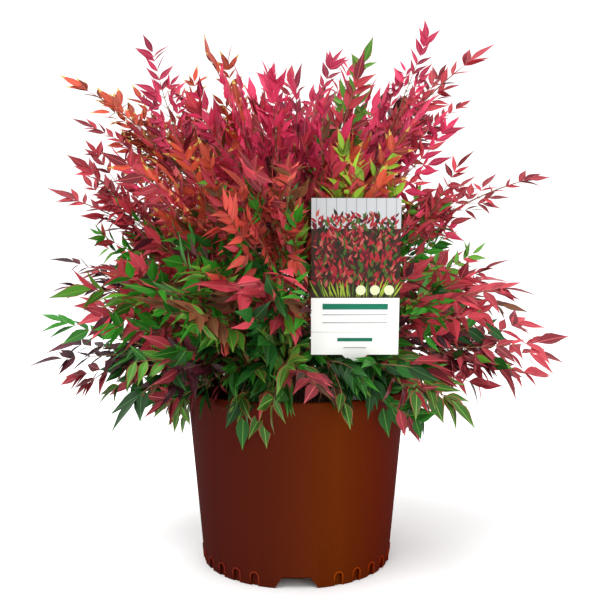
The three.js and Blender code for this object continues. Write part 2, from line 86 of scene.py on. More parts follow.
# A ring of masses: how many, the first one's azimuth from +X, the elevations at its stems' start and tip, how
# far its leaves reach from the crown's centre, its depth over its width, how far up its cane a stem starts, a
# leaf's length, its width over that, how far it hangs, and the spacing of a stem's pairs of wands.
RINGS = table(
    "count turn start tip reach depth seat leaf width hang pairs",
    ("skirt", 8, 22.5, 14, -10, 0.220, 0.93, 0.44, 0.041, 0.40, 0.50, 0.0095),
    ("low", 8, 0, 10, -5, 0.300, 0.90, 0.56, 0.046, 0.36, 0.22, 0.0165),
    ("side", 8, 22.5, 26, 20, 0.338, 0.90, 0.72, 0.039, 0.35, 0.18, 0.016),
    ("shoulder", 8, 0, 50, 42, 0.385, 0.90, 1, 0.036, 0.31, 0.06, 0.018),
    ("crown", 6, 0, 72, 62, 0.440, 0.90, 1, 0.036, 0.30, -0.06, 0.019),
    ("top", 1, 270, 84, 86, 0.422, 0.90, 1, 0.035, 0.30, -0.08, 0.015),
)
# Masses that differ from their ring. A turn here is counted from the mass's place in it.
SPECIAL = {
    "skirt_7": {"turn": -4},
    "low_1": {"tip": -6, "reach": 0.356},
    "low_5": {"tip": -6, "reach": 0.322},
    "low_7": {"turn": -6},
    "low_8": {"start": 3, "tip": -6, "reach": 0.285},
    "side_1": {"reach": 0.352},
    "side_4": {"reach": 0.380},
    "side_5": {"reach": 0.318},
    "side_6": {"turn": -9},
    "side_7": {"turn": -27},
    "side_8": {"turn": -3, "reach": 0.322},
    "shoulder_1": {"tip": 38, "reach": 0.418},
    "shoulder_5": {"start": 44, "tip": 36, "reach": 0.392},
    "shoulder_7": {"turn": -10},
    "shoulder_8": {"turn": -8, "start": 62, "tip": 54, "reach": 0.346},
    "crown_1": {"tip": 60, "reach": 0.482},
    "crown_2": {"turn": -15, "reach": 0.484},
    "crown_3": {"turn": 20, "tip": 59, "reach": 0.484},
    "crown_4": {"start": 64, "tip": 52, "reach": 0.482},
    "crown_5": {"reach": 0.420},
    "crown_6": {"turn": 10, "start": 76, "tip": 72, "reach": 0.392},
}
STEM = Sizes(
    bend_power=1.7, seat_fade=3.2, seat_below=0.05, axis_at=0.72, roll=40, end_from=0.94, end_leaf=1.06,
)
FIRST_SEED = 101  # each mass has a seed of its own, counted from this one

# ---- Sizes of the finer growth ----

# Masses whose leaves are longer than their ring's.
LARGE_LEAVES = {
    "low_1": 0.055, "low_5": 0.050, "low_6": 0.049, "side_1": 0.045, "side_5": 0.043, "side_6": 0.043,
    "side_7": 0.043, "side_8": 0.045, "skirt_4": 0.048, "skirt_5": 0.048,
}
# Masses with opener sprays: within how far of a wand's tip its pinnae are single leaves.
OPEN_SPRAYS = {"low_1": 0.085, "low_5": 0.085}
# Masses that show as one or a few long sprays with sky beside them: how far their other wands reach, over
# their reach, and how many those are, over the usual number.
SLENDER = {
    "shoulder_1": (0.72, 0.85), "shoulder_5": (0.81, 0.80), "crown_1": (0.80, 0.75), "crown_3": (0.79, 0.80),
    "crown_4": (0.78, 0.75), "side_1": (0.84, 0.66), "side_4": (0.82, 0.75), "side_8": (0.84, 0.52),
    "low_1": (0.80, 0.34), "low_5": (0.80, 0.38), "low_6": (0.88, 0.70), "low_8": (0.84, 0.50),
    "skirt_1": (0.70, 0.35), "skirt_4": (0.70, 0.35), "skirt_5": (0.70, 0.35), "skirt_8": (0.70, 0.35),
}
BOUGH = Sizes(sides=6, steps=16, start_radius=0.0019, tip_radius=0.0006)
# A stem's inner part bears pairs of wands, and its outer part pinnae, as a wand does.
NODES = Sizes(
    first=0.04, turn=64, beside=0.03, jitter=(0.8, 1.2),
    outer_from=0.60, outer_back=0.04, outer_jitter=(0.9, 1.2),
)
WAND = Sizes(
    sides=4, steps=5, start_radius=0.0009, tip_radius=0.0004, spread=31, spread_jitter=8, sag=0.25,
    straighten=0.65,  # share of its spread that a wand loses towards its tip
    least=0.022,
    rest=(0.20, 0.88),  # length beyond that, as a share of what is left to the mass's reach
    rest_power=1.35,  # above 1 most wands are short and a few stand out
    sizes=(1, 0.76, 0.54),  # tried in turn, until one has room
    reach_share=0.93,  # of its mass's reach, which only the stem's end and the long shoots use in full
    first=0.014,  # from its foot to its first pair of pinnae
    spacing=0.47,  # from pair to pair, over a leaf's length
    jitter=(0.85, 1.15),
    closing=0.22,  # how much closer its pairs are at its tip
    end_room=0.35,  # least between its last pair and its tip, over the spacing
    clear_steps=9, samples=8,
)
PINNA = Sizes(
    sides=3, steps=1, start_radius=0.0006, tip_radius=0.0004, base=0.007, share=0.17, longest=0.032,
    jitter=(0.7, 1.1), from_rest=0.052,  # nearer than this to a wand's tip are single leaves
)
SHOOT = Sizes(
    root=0.40, root_to=0.50,  # the stretch of its stem that it leaves, and whose direction it takes
    straight=0.35,  # share of it that keeps to the stem's direction
    reach_share=1.10,
    # The shade values, the second for a shoot in the front, shift its leaves towards the darker copies of
    # their colour: painted shade for leaves that stand free in full light.
    shade=-1.2,
    leaf=0.84,  # size of its leaves, over its mass's
    front=0.8,  # how much its leaves face the front, over how much they face up
    at_front=0.78,  # cosine of the angle from the front within which a shoot takes these values instead:
    front_leaf=1.02, front_shade=-0.25, front_hang=0.6,
)
LEAF = Sizes(
    side_share=0.82, side_turn=40, pinna_share=0.86,
    stalk=0.20,  # how far the end leaf of three stands beyond its pair, over its length
    inner=0.68,  # size at the crown's centre, over that at its outside
    sizes=(1, 0.82, 0.64),  # tried in turn, until one has room
    lengths=(0.72, 1.22), widths=(0.84, 1.24), hangs=(0.5, 1.4),  # over those of its mass
    folds=(0.10, 0.38), droops=(0.02, 0.18), jitter=11,
    plane_pull=0.75, light_pull=0.60, face_jitter=0.30,
    light_up=0.6,  # how much the light comes from above, over how much it comes from outside
    light_core=0.10,  # within this radius it comes more and more from above
)
# Long shoots: those that stand out of the crown, the bright ones in its front, the dark ones that close its
# middle and its front below the label, and those that hang over the rim. By mass, each has the azimuth and
# the elevation of its tip from the crown's centre, its distance, and the kind of its leaves.
SHOOTS = {
    "crown_1": [(353, 68, 0.470, "magenta"), (6, 57, 0.427, "crimson"), (10, 63, 0.452, "crimson")],
    "crown_3": [(168, 76.8, 0.428, "scarlet"), (170, 66, 0.400, "magenta")],
    "crown_4": [
        (188, 65, 0.460, "magenta"), (180, 70, 0.413, "scarlet"), (173, 59, 0.430, "scarlet"),
        (181, 54.5, 0.436, "scarlet"), (186, 49, 0.422, "crimson"),
    ],
    "crown_6": [(318, 73.5, 0.409, "edged")],
    "top_1": [(215, 83, 0.392, "magenta"), (120, 87, 0.392, "crimson"), (335, 82.5, 0.408, "magenta")],
    "shoulder_1": [(354, 50.5, 0.350, "crimson"), (8, 46, 0.348, "crimson")],
    "shoulder_3": [(90, 40, 0.230, "deep"), (94, 36, 0.210, "deep")],
    "shoulder_5": [(186, 43, 0.386, "crimson"), (181, 40.5, 0.375, "crimson"), (178, 46, 0.405, "crimson")],
    "shoulder_7": [
        (257, 46, 0.300, "coral"), (262, 43, 0.290, "coral"), (251, 48, 0.305, "coral"),
        (268, 39, 0.276, "coral"), (271, 37, 0.240, "coral"),
    ],
    "shoulder_8": [(293, 62, 0.315, "lime"), (312, 56, 0.315, "lime")],
    "side_1": [(8, 25, 0.318, "rose"), (355, 22, 0.300, "rose"), (5, 14.5, 0.322, "bronze")],
    "side_2": [(86, 30, 0.220, "deep"), (87, 22, 0.230, "deep"), (88, 14, 0.220, "deep")],
    "side_3": [(95, 32, 0.220, "deep"), (94, 24, 0.240, "deep"), (93, 16, 0.230, "deep")],
    "side_4": [(171, 23, 0.362, "maroon"), (177, 18, 0.345, "maroon")],
    "side_7": [
        (266, 29, 0.280, "rose"), (260, 26, 0.284, "rose"), (254, 24, 0.280, "rose"),
        (271, 31, 0.215, "deep"), (270, 25, 0.205, "edged"), (273, 21, 0.235, "green"),
    ],
    "side_8": [(318, 20, 0.250, "green"), (322, 26, 0.255, "edged")],
    "low_1": [
        (6, 9, 0.348, "rose"), (356, -3.5, 0.360, "rose"), (2, 1.5, 0.362, "rose"), (354, 5, 0.352, "rose"),
    ],
    "low_5": [
        (181, -9, 0.283, "edged"), (184, 10, 0.345, "green"), (184, 1, 0.340, "maroon"),
        (177, 4, 0.334, "maroon"), (180, -4, 0.325, "rose"),
    ],
    "low_8": [
        (303, -5, 0.200, "deep"), (301, 2, 0.172, "edged"), (299, 5, 0.196, "deep"),
        (296, 4, 0.192, "deep"), (303, 5, 0.200, "green"),
    ],
    "skirt_1": [(8, -17, 0.208, "edged"), (12, -24, 0.196, "edged")],
    "skirt_4": [(172, -17, 0.208, "edged"), (166, -22, 0.198, "edged")],
    "skirt_5": [(188, -17, 0.208, "edged"), (193, -24, 0.198, "edged"), (201, -20, 0.205, "edged")],
    "skirt_6": [(264, -20, 0.186, "deep"), (254, -21, 0.188, "edged"), (244, -20, 0.188, "green")],
    "skirt_7": [
        (279, -20, 0.186, "deep"), (297, -9, 0.175, "green"), (298, -2, 0.170, "deep"),
        (294, -3, 0.180, "deep"), (300, -6, 0.182, "deep"), (298, -5, 0.172, "edged"),
    ],
    "skirt_8": [(352, -17, 0.208, "edged"), (347, -24, 0.198, "edged"), (338, -20, 0.205, "deep")],
}
# Stems whose end stands out of the crown: its leaves face the front, and are all of this kind.
STEM_ENDS = {
    "crown_1": "crimson", "crown_3": "scarlet", "crown_4": "scarlet", "crown_5": "scarlet",
    "crown_6": "crimson", "shoulder_1": "crimson", "shoulder_5": "crimson", "side_1": "rose",
    "side_4": "crimson", "side_8": "rose", "low_1": "rose", "low_5": "rose", "low_8": "edged",
}
AXIS_FALL = 2.0  # how fast a mass's reach shrinks away from its axis, times one less the angle's cosine
CROWN_TOP = 0.698
UNDERSIDE = Sizes(height=0.150, slope=0.6, start=0.20)  # the crown's underside rises beyond this radius
INNER_CLEAR = 0.045
CELL_SLACK = 0.024  # how far a leaf may lean over into the next mass's space
CLEAR = Sizes(label=0.0025, pot=0.002)

# ---- Leaf kinds: the record's slot, base colours as 8-bit sRGB, and the part that a trim colours ----

KINDS = table(
    "slot blade rib trim trim_at",
    ("magenta", "leaves_magenta", (188, 46, 82), (212, 86, 108)),
    ("crimson", "leaves_crimson", (166, 48, 60), (192, 86, 88)),
    ("scarlet", "leaves_crimson", (176, 66, 46), (198, 104, 66), (190, 168, 76), "tip"),
    ("coral", "leaves_crimson", (178, 64, 54), (200, 102, 82)),
    ("rose", "leaves_rose", (176, 56, 68), (200, 92, 94)),
    ("maroon", "leaves_rose", (78, 26, 38), (94, 40, 48)),
    ("bronze", "leaves_mixed", (92, 56, 32), (122, 86, 48), (134, 46, 38), "margin"),
    ("edged", "leaves_mixed", (76, 136, 38), (120, 156, 64), (146, 76, 48), "margin"),
    ("green", "leaves_green", (46, 126, 30), (88, 148, 56)),
    ("deep", "leaves_green", (26, 82, 24), (56, 106, 46)),
    ("lime", "leaves_green", (132, 172, 48), (164, 188, 74), (190, 112, 60), "tip"),
)
# A blade's copies of its base colour in painted shade and painted light, and which of them a leaf mostly has:
# painted shade low in the crown's middle, and painted light high up or out at the sides, less at the left
# side. A random spread mixes them.
PAINTED_SHADES = Sizes(
    factors=(0.38, 0.68, 0.98, 1.28), low=-0.35, high=2.6, spread=1.05, heights=(0.24, 0.31),
    sides=(0.15, 0.27), left=0.6,  # how much lighter the left side is, over how much the right side is
)
STRAY = 0.18  # share of leaves that differ from the rest of their spray
INNER_KINDS = Sizes(all_to=0.25, fade=1.9)  # how far out the leaves are of the inner kinds, over the reach

# Masses this near +X grow at the crown's right side, and those between these azimuths at its left side.
RIGHT_WITHIN, LEFT_BETWEEN = 60, (120, 232)
# What the red sprays of each ring are, by weight, at one of those sides or in all the rest of it.
RED_MIX = {
    "skirt": {"bronze": 3, "edged": 9},
    "low_right": {"rose": 6, "crimson": 2, "maroon": 1},
    "low_left": {"rose": 4, "crimson": 2, "maroon": 2, "bronze": 1},
    "low": {"rose": 2, "bronze": 2, "edged": 4},
    "side_right": {"rose": 4, "crimson": 3, "maroon": 1},
    "side_left": {"crimson": 4, "coral": 1, "rose": 3, "maroon": 2},
    "side": {"coral": 2, "crimson": 2, "bronze": 3, "rose": 2},
    "shoulder_right": {"crimson": 4, "magenta": 3, "rose": 2},
    "shoulder_left": {"scarlet": 2, "crimson": 4, "rose": 2},
    "shoulder": {"crimson": 3, "coral": 4, "rose": 2, "bronze": 1},
    "crown_left": {"magenta": 4, "scarlet": 3, "crimson": 2},
    "crown": {"magenta": 6, "crimson": 3},
    "top": {"magenta": 6, "crimson": 3, "scarlet": 1},
}
GREEN_MIX = {"green": 5, "deep": 4, "edged": 3, "bronze": 1}
INNER_MIX = {
    "all": {"deep": 4, "green": 6, "edged": 4, "bronze": 1, "maroon": 1},
    "crown": {"crimson": 6, "maroon": 2, "rose": 2, "bronze": 2, "deep": 1},
    "top": {"crimson": 6, "maroon": 2, "rose": 2, "bronze": 1, "deep": 1},
}
LIME_MASS = "shoulder_8"  # the young growth over the label
LIME_MIX = {"lime": 3, "edged": 1, "scarlet": 4, "rose": 3}

# The share of outer sprays that are green: most low down, and hardly any high up. Some masses have their own.
GREEN_SHARE = {"right": 0.24, "left": 0.44, "all": 0.94, "high": 0.05}
GREEN_MASSES = {"low_6": 0.62, "low_8": 0.88, "skirt_8": 0.90, "skirt_5": 0.80}
GREEN_BELOW, RED_ABOVE = 0.36, 0.45

UP = Vector((0, 0, 1))
ALONG_X = Vector((1, 0, 0))
FRONT = Vector((0, -1, 0))


# ---- Helpers ----


def direction(azimuth, elevation):
    """The direction with this azimuth from +X and this elevation, in degrees."""
    a, e = math.radians(azimuth), math.radians(elevation)
    return Vector((math.cos(e) * math.cos(a), math.cos(e) * math.sin(a), math.sin(e)))


def turned(vector, axis, degrees):
    return Quaternion(axis, math.radians(degrees)) @ vector


def square_to(vector, along):
    """The part of a vector that is square to a unit vector, at length one."""
    return (vector - along * vector.dot(along)).normalized()


def heading(line, start, end):
    """The direction of a line between two of its shares."""
    return (line(end) - line(start)).normalized()


def circle(radius, sides, x=0, y=0):
    steps = [2 * math.pi * k / sides for k in range(sides)]
    return [(x + radius * math.cos(a), y + radius * math.sin(a)) for a in steps]


def linear(rgb, factor=1.0):
    """An 8-bit sRGB colour as a linear one with alpha, times a factor."""
    out = []
    for c in rgb:
        c = c / 255
        c = c / 12.92 if c <= 0.04045 else ((c + 0.055) / 1.055) ** 2.4
        out.append(min(1.0, c * factor))
    return (*out, 1.0)


def in_scene(name, data):
    """A new object in the scene."""
    made = bpy.data.objects.new(name, data)
    bpy.context.scene.collection.objects.link(made)
    return made


def add_object(name, mesh, materials, nodes=(), smooth=True):
    """A mesh as a piece of the object that rides on its one body."""
    for material in materials:
        mesh.materials.append(material)
    mesh.polygons.foreach_set("use_smooth", [smooth] * len(mesh.polygons))
    piece = in_scene(name, mesh)
    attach(piece, "root")
    if nodes:
        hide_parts(*nodes)
    return piece


def mesh_of(name, points, faces, slots=()):
    """A mesh from lists of its points and faces, with each face's material slot."""
    mesh = bpy.data.meshes.new(name)
    mesh.from_pydata(points, [], faces)
    if slots:
        mesh.polygons.foreach_set("material_index", slots)
    return mesh


class Prisms:
    """Closed prisms, joined into one mesh. Each is an outline in a frame's XY plane, carried along its Z."""

    def __init__(self):
        self.points, self.faces, self.slots = [], [], []

    def add(self, outline, matrix, depth, slot=0):
        first, count = len(self.points), len(outline)
        self.points += [matrix @ Vector((x, y, z)) for z in (0, depth) for x, y in outline]
        faces = [tuple(reversed(range(count))), tuple(range(count, 2 * count))]
        for k in range(count):
            n = (k + 1) % count
            faces.append((k, n, count + n, count + k))
        self.faces += [tuple(first + i for i in face) for face in faces]
        self.slots += [slot] * len(faces)

    def mesh(self, name):
        return mesh_of(name, self.points, self.faces, self.slots)


class Tubes:
    """Tapering tubes, joined into one mesh. Each is closed, with a flat foot and a pointed tip."""

    def __init__(self):
        self.points, self.triangles = [], []

    def add(self, path, radii, sides, relief=None):
        first = len(self.points)
        guide = ALONG_X if abs((path[-1] - path[0]).normalized().x) < 0.8 else UP
        for i, point in enumerate(path[:-1]):
            along = (path[i + 1] - path[max(i - 1, 0)]).normalized()
            u = square_to(guide, along)
            v = along.cross(u)
            for k in range(sides):
                angle = 2 * math.pi * k / sides
                radius = radii[i] + (relief(i, angle) if relief else 0)
                self.points.append(point + u * (radius * math.cos(angle)) + v * (radius * math.sin(angle)))
        self.points.append(path[-1])
        tip = len(self.points) - 1
        last = tip - sides
        for a in range(first, last):
            b = a + 1 if (a + 1 - first) % sides else a + 1 - sides
            self.triangles += [(a, b, b + sides), (a, b + sides, a + sides)]
        for k in range(sides):
            self.triangles.append((last + k, last + (k + 1) % sides, tip))
            if 0 < k < sides - 1:
                self.triangles.append((first, first + k + 1, first + k))

    def taper(self, line, size):
        """A tube along a line, with the steps, sides and radii of its size."""
        shares = [i / size.steps for i in range(size.steps + 1)]
        span = size.tip_radius - size.start_radius
        radii = [size.start_radius + span * share for share in shares]
        self.add([line(share) for share in shares], radii, size.sides)

    def mesh(self, name):
        return mesh_of(name, self.points, self.triangles)


# ---- Materials ----


class Material:
    """A material with a Principled shader, and short ways to add its nodes."""

    def __init__(self, name, **inputs):
        self.material = bpy.data.materials.new(name)
        self.material.use_nodes = True
        self.tree = self.material.node_tree
        self.shader = self.tree.nodes["Principled BSDF"]
        for key, value in inputs.items():
            self.shader.inputs[key.replace("_", " ")].default_value = value
        self.place = self.node("ShaderNodeTexCoord").outputs["Object"]

    def node(self, kind, **inputs):
        made = self.tree.nodes.new(kind)
        for key, value in inputs.items():
            made.inputs[key.replace("_", " ")].default_value = value
        return made

    def link(self, output, target):
        self.tree.links.new(output, target)

    def colour(self, output):
        self.link(output, self.shader.inputs["Base Color"])

    def noise(self, scale, detail=3.0, stretch=(1, 1, 1)):
        mapping = self.node("ShaderNodeMapping", Scale=stretch)
        self.link(self.place, mapping.inputs["Vector"])
        made = self.node("ShaderNodeTexNoise", Scale=scale, Detail=detail)
        self.link(mapping.outputs["Vector"], made.inputs["Vector"])
        return made.outputs["Fac"]

    def ramp(self, factor, stops):
        made = self.node("ShaderNodeValToRGB")
        elements = made.color_ramp.elements
        while len(elements) < len(stops):
            elements.new(0.5)
        for element, (position, colour) in zip(elements, stops):
            element.position = position
            element.color = colour
        self.link(factor, made.inputs["Fac"])
        return made.outputs["Color"]

    def roughness(self, low, high, scale, detail=3.0):
        """A shine that is uneven, between two roughnesses."""
        made = self.node("ShaderNodeMapRange", To_Min=low, To_Max=high)
        self.link(self.noise(scale, detail), made.inputs["Value"])
        self.link(made.outputs["Result"], self.shader.inputs["Roughness"])

    def grain(self, scale, distance, strength, detail=2.0, stretch=(1, 1, 1)):
        """Unevenness too small for the mesh."""
        made = self.node("ShaderNodeBump", Strength=strength, Distance=distance)
        self.link(self.noise(scale, detail, stretch), made.inputs["Height"])
        self.link(made.outputs["Normal"], self.shader.inputs["Normal"])


def leaf_material(name, rgb, factor=1.0):
    """A leaf's skin: one base colour, times a factor that darkens it for painted shade and lightens it for
    painted light, with the small unevenness of its veins.
    """
    m = Material(name, Base_Color=linear(rgb, factor), Specular_IOR_Level=0.22)
    m.roughness(0.38, 0.56, scale=260)
    m.grain(scale=520, distance=0.0006, strength=0.35)
    return m.material


def bark_material(name, dark, light, scale=90):
    m = Material(name, Roughness=0.8)
    streaks = m.noise(scale, 4.0, (3, 3, 0.35))
    m.colour(m.ramp(streaks, [(0.3, linear(dark)), (0.7, linear(light))]))
    m.grain(scale * 3, distance=0.0008, strength=0.6, detail=4.0, stretch=(3, 3, 0.6))
    return m.material


def mulch_material(name, dark, light):
    m = Material(name, Roughness=0.92)
    m.colour(m.ramp(m.noise(120, 5.0), [(0.32, linear(dark)), (0.68, linear(light))]))
    m.grain(scale=700, distance=0.0010, strength=0.8, detail=4.0)
    return m.material


# The pot's brown with painted light and shade across it from its left side to its right, and where each
# colour lies: shaded maroon at the left, lit orange-brown at the middle right and shaded dark red at the
# right edge.
POT_COLOURS_AND_PAINTED_SHADE = (
    (0.0, (58, 12, 10)),
    (0.40, (74, 23, 9)),
    (0.66, (86, 32, 0)),
    (0.84, (78, 18, 0)),
    (1.0, (62, 2, 0)),
)


def pot_material(name, factor=1.0):
    """Moulded plastic with painted light and shade across it, maroon to one side and orange-brown to the
    other, with faint flow lines.
    """
    m = Material(name, Specular_IOR_Level=0.0, Coat_Weight=0.05, Coat_Roughness=0.34)
    # Painted light and shade: the colour ramps along the pot's X, from the shaded left side over the lit
    # middle right to the shaded right edge.
    across = m.node("ShaderNodeSeparateXYZ")
    m.link(m.place, across.inputs["Vector"])
    side = m.node("ShaderNodeMapRange", From_Min=-POT.lip_radius, From_Max=POT.lip_radius)
    m.link(across.outputs["X"], side.inputs["Value"])
    body = m.ramp(side.outputs["Result"], [(at, linear(rgb, factor)) for at, rgb in POT_COLOURS_AND_PAINTED_SHADE])
    flow = m.ramp(m.noise(9, 3.0, (1, 1, 0.25)), [(0.35, (0.82, 0.82, 0.82, 1)), (0.65, (1, 1, 1, 1))])
    mottle = m.node("ShaderNodeMix", Factor=0.5)
    mottle.data_type = "RGBA"
    mottle.blend_type = "MULTIPLY"
    m.link(body, mottle.inputs["A"])
    m.link(flow, mottle.inputs["B"])
    m.colour(mottle.outputs["Result"])
    m.roughness(0.34, 0.46, scale=60, detail=4.0)
    m.grain(scale=900, distance=0.0002, strength=0.25)
    return m.material


def print_material(name, rgb, roughness=0.35):
    """Ink on a plastic card, with the card's faint grain."""
    m = Material(name, Base_Color=linear(rgb), Specular_IOR_Level=0.12)
    m.roughness(roughness - 0.05, roughness + 0.08, scale=400)
    m.grain(scale=1500, distance=0.0001, strength=0.2)
    return m.material


def floor_material():
    m = Material("floor", Base_Color=(0.96, 0.96, 0.96, 1.0), Specular_IOR_Level=0.0)
    m.roughness(0.8, 0.9, scale=3)
    return m.material


# ---- Pot ----


def wall_radius(z):
    """Outside radius of the pot's wall at a height."""
    return POT.base_radius + (POT.wall_top_radius - POT.base_radius) * z / WALL_TOP


def inner_radius(z):
    return wall_radius(z) - POT.wall


def lathe(profile, segments):
    """A closed turned mesh from (radius, height) pairs that start and end on the axis."""
    points = [(0, 0, profile[0][1]), (0, 0, profile[-1][1])]
    for radius, z in profile[1:-1]:
        points += [(x, y, z) for x, y in circle(radius, segments)]
    triangles = []
    rings = len(profile) - 2
    for k in range(segments):
        n = (k + 1) % segments
        last = 2 + (rings - 1) * segments
        triangles += [(0, 2 + n, 2 + k), (1, last + k, last + n)]
        for i in range(rings - 1):
            a, b = 2 + i * segments + k, 2 + i * segments + n
            triangles += [(a, b, b + segments), (a, b + segments, a + segments)]
    return points, triangles


def pot_profile():
    """The pot's section, from under its middle round its foot, wall and lip to the floor inside, with the
    small roundings of its moulded edges."""
    disc, base, lip, top = POT.disc_radius, POT.base_radius, POT.lip_radius, POT.height
    return [
        (0, 0),
        (disc, 0),
        (disc + 0.004, POT.ledge_height),
        (FOOT_INNER, POT.ledge_height),
        (FOOT_INNER, 0),
        (base - 0.0010, 0),
        (base - 0.0002, 0.0004),
        (wall_radius(0.0014), 0.0014),
        (wall_radius(WALL_TOP - 0.0012), WALL_TOP - 0.0012),
        (wall_radius(WALL_TOP) + 0.0005, WALL_TOP),
        (lip - 0.0016, WALL_TOP + 0.0002),
        (lip - 0.0007, WALL_TOP + 0.0010),
        (lip - 0.0004, WALL_TOP + 0.0024),
        (lip, top - 0.0022),
        (lip - 0.0003, top - 0.0009),
        (lip - 0.0012, top - 0.0001),
        (lip - 0.0024, top),
        (inner_radius(top) + 0.0010, top),
        (inner_radius(top) + 0.0002, top - 0.0004),
        (inner_radius(top - 0.0016), top - 0.0016),
        (inner_radius(LEDGE_TOP), LEDGE_TOP),
        (disc + 0.0025, LEDGE_TOP),
        (disc - 0.0015, POT.floor),
        (0, POT.floor),
    ]


def wall_frame(azimuth, radius):
    """A frame on a vertical face: X across it, Y up, Z outwards, at this distance from the pot's axis."""
    outward = direction(azimuth, 0)
    columns = Matrix((UP.cross(outward), UP, outward)).transposed().to_4x4()
    return Matrix.Translation(outward * radius) @ columns


def notch_outline():
    top, bottom = NOTCH.top_width / 2, NOTCH.bottom_width / 2
    right = [(bottom, -CUT_PAST), (bottom, 0), (top, NOTCH.height)]
    return [(-bottom, -CUT_PAST), *right, (-top, NOTCH.height), (-bottom, 0)]


def flute_arch(half):
    """The points of a flute's rounded top, from right to left, at this half width."""
    steps = [math.pi * i / FLUTE.arc_steps for i in range(FLUTE.arc_steps + 1)]
    foot = FLUTE.height - FLUTE.width / 2
    return [(half * math.cos(angle), foot + half * math.sin(angle)) for angle in steps]


def sectors():
    """The azimuth of each notch, with those of the flutes that follow it."""
    for k in range(NOTCH.count):
        azimuth = NOTCH.first + 360 / NOTCH.count * k
        yield azimuth, [azimuth + FLUTE.pitch * (FLUTE.skipped + j) for j in range(FLUTE.per_sector)]


def pot_cutters():
    """The foot's notches, the arched flutes round it and the drain holes, as one mesh of closed prisms."""
    cuts = Prisms()
    half = FLUTE.width / 2
    flute = [(-half, -CUT_PAST), (half, -CUT_PAST), *flute_arch(half)]
    for azimuth, flute_azimuths in sectors():
        across = wall_frame(azimuth, FOOT_INNER - CUT_PAST)
        cuts.add(notch_outline(), across, POT.foot_width + 2 * CUT_PAST)
        for at in flute_azimuths:
            cuts.add(flute, wall_frame(at, POT.base_radius - FLUTE.depth), FLUTE.depth + CUT_PAST)
    for k in range(DRAIN.count):
        at = direction(DRAIN.first + 360 / DRAIN.count * k, 0) * DRAIN.ring_radius
        at.z = POT.ledge_height - CUT_PAST / 2
        cuts.add(circle(DRAIN.radius, DRAIN.sides), Matrix.Translation(at), POT.floor + CUT_PAST)
    return cuts.mesh("pot_cutters")


def flute_rims():
    """The thin raised edge round each flute."""
    tubes = Tubes()
    half = FLUTE.width / 2 + FLUTE.rim * FLUTE.rim_out
    outline = [(half, FLUTE.rim), *flute_arch(half), (-half, FLUTE.rim)]
    for _, flute_azimuths in sectors():
        for azimuth in flute_azimuths:
            path = []
            for across, up in outline:
                radius = wall_radius(up)
                path.append(direction(azimuth + math.degrees(across / radius), 0) * radius + UP * up)
            tubes.add(path, [FLUTE.rim] * len(path), FLUTE.rim_sides)
    return tubes.mesh("flute_rims")


def make_pot():
    mesh = mesh_of("nursery_pot", *lathe(pot_profile(), POT.segments))
    pot = add_object("nursery_pot", mesh, [pot_material("pot_plastic")], ("pot",))
    # The rims take the pot's colour made brighter: a painted highlight along each flute's edge.
    edges = [pot_material("pot_edges", FLUTE.rim_light)]
    add_object("flute_rims", flute_rims(), edges)
    cutters = in_scene("pot_cutters", pot_cutters())
    cut = pot.modifiers.new("cut", "BOOLEAN")
    cut.operation = "DIFFERENCE"
    cut.solver = "EXACT"
    cut.object = cutters
    graph = bpy.context.evaluated_depsgraph_get()
    cut_mesh = bpy.data.meshes.new_from_object(pot.evaluated_get(graph))
    pot.modifiers.clear()
    pot.data = cut_mesh
    bpy.data.objects.remove(cutters)
    pot.data.shade_smooth()
    pot.data.set_sharp_from_angle(angle=math.radians(SHARP_FROM))


# ---- Potting mix ----

MULCH = Sizes(rings=34, segments=96, step_half=0.002, depth=0.003, relief=0.0035, relief_scale=70)
CHIPS = Sizes(
    count=520, seed=7, spread=0.93, lift=0.001, tilt=0.25, half_length=(0.004, 0.010),
    half_width=(0.002, 0.0045), jitter=(0.8, 1.1), thickness=(0.0012, 0.0026),
    outline=((-1, -0.6), (-0.3, -1), (0.7, -0.8), (1, 0.3), (0.2, 1), (-0.8, 0.7)),
)


def mulch_height(x, y):
    return SOIL_TOP - MULCH.depth + MULCH.relief * noise.noise(Vector((x, y, 0)) * MULCH.relief_scale)


def make_mulch():
    """The potting mix: a filled body whose top is uneven, with chips of bark strewn on it."""
    bottom, ledge_top = POT.floor + SOIL_GAP, LEDGE_TOP + SOIL_GAP
    edge = inner_radius(SOIL_TOP) - SOIL_GAP
    profile = [
        (0, bottom),
        (POT.disc_radius - MULCH.step_half, bottom),
        (POT.disc_radius + MULCH.step_half, ledge_top),
        (inner_radius(ledge_top) - 2 * SOIL_GAP, ledge_top),
    ]
    profile += [(edge * (1 - i / MULCH.rings), SOIL_TOP) for i in range(MULCH.rings)]
    profile.append((0, SOIL_TOP))
    points, triangles = lathe(profile, MULCH.segments)
    raised = [(x, y, mulch_height(x, y) if z == SOIL_TOP else z) for x, y, z in points]
    mix = [mulch_material("potting_mix", (20, 14, 10), (64, 44, 30))]
    add_object("mulch", mesh_of("mulch", raised, triangles), mix, ("potting_mix",))
    bark = [mulch_material("chips", (44, 28, 18), (116, 78, 48))]
    add_object("bark_chips", bark_chips(edge), bark, smooth=False)


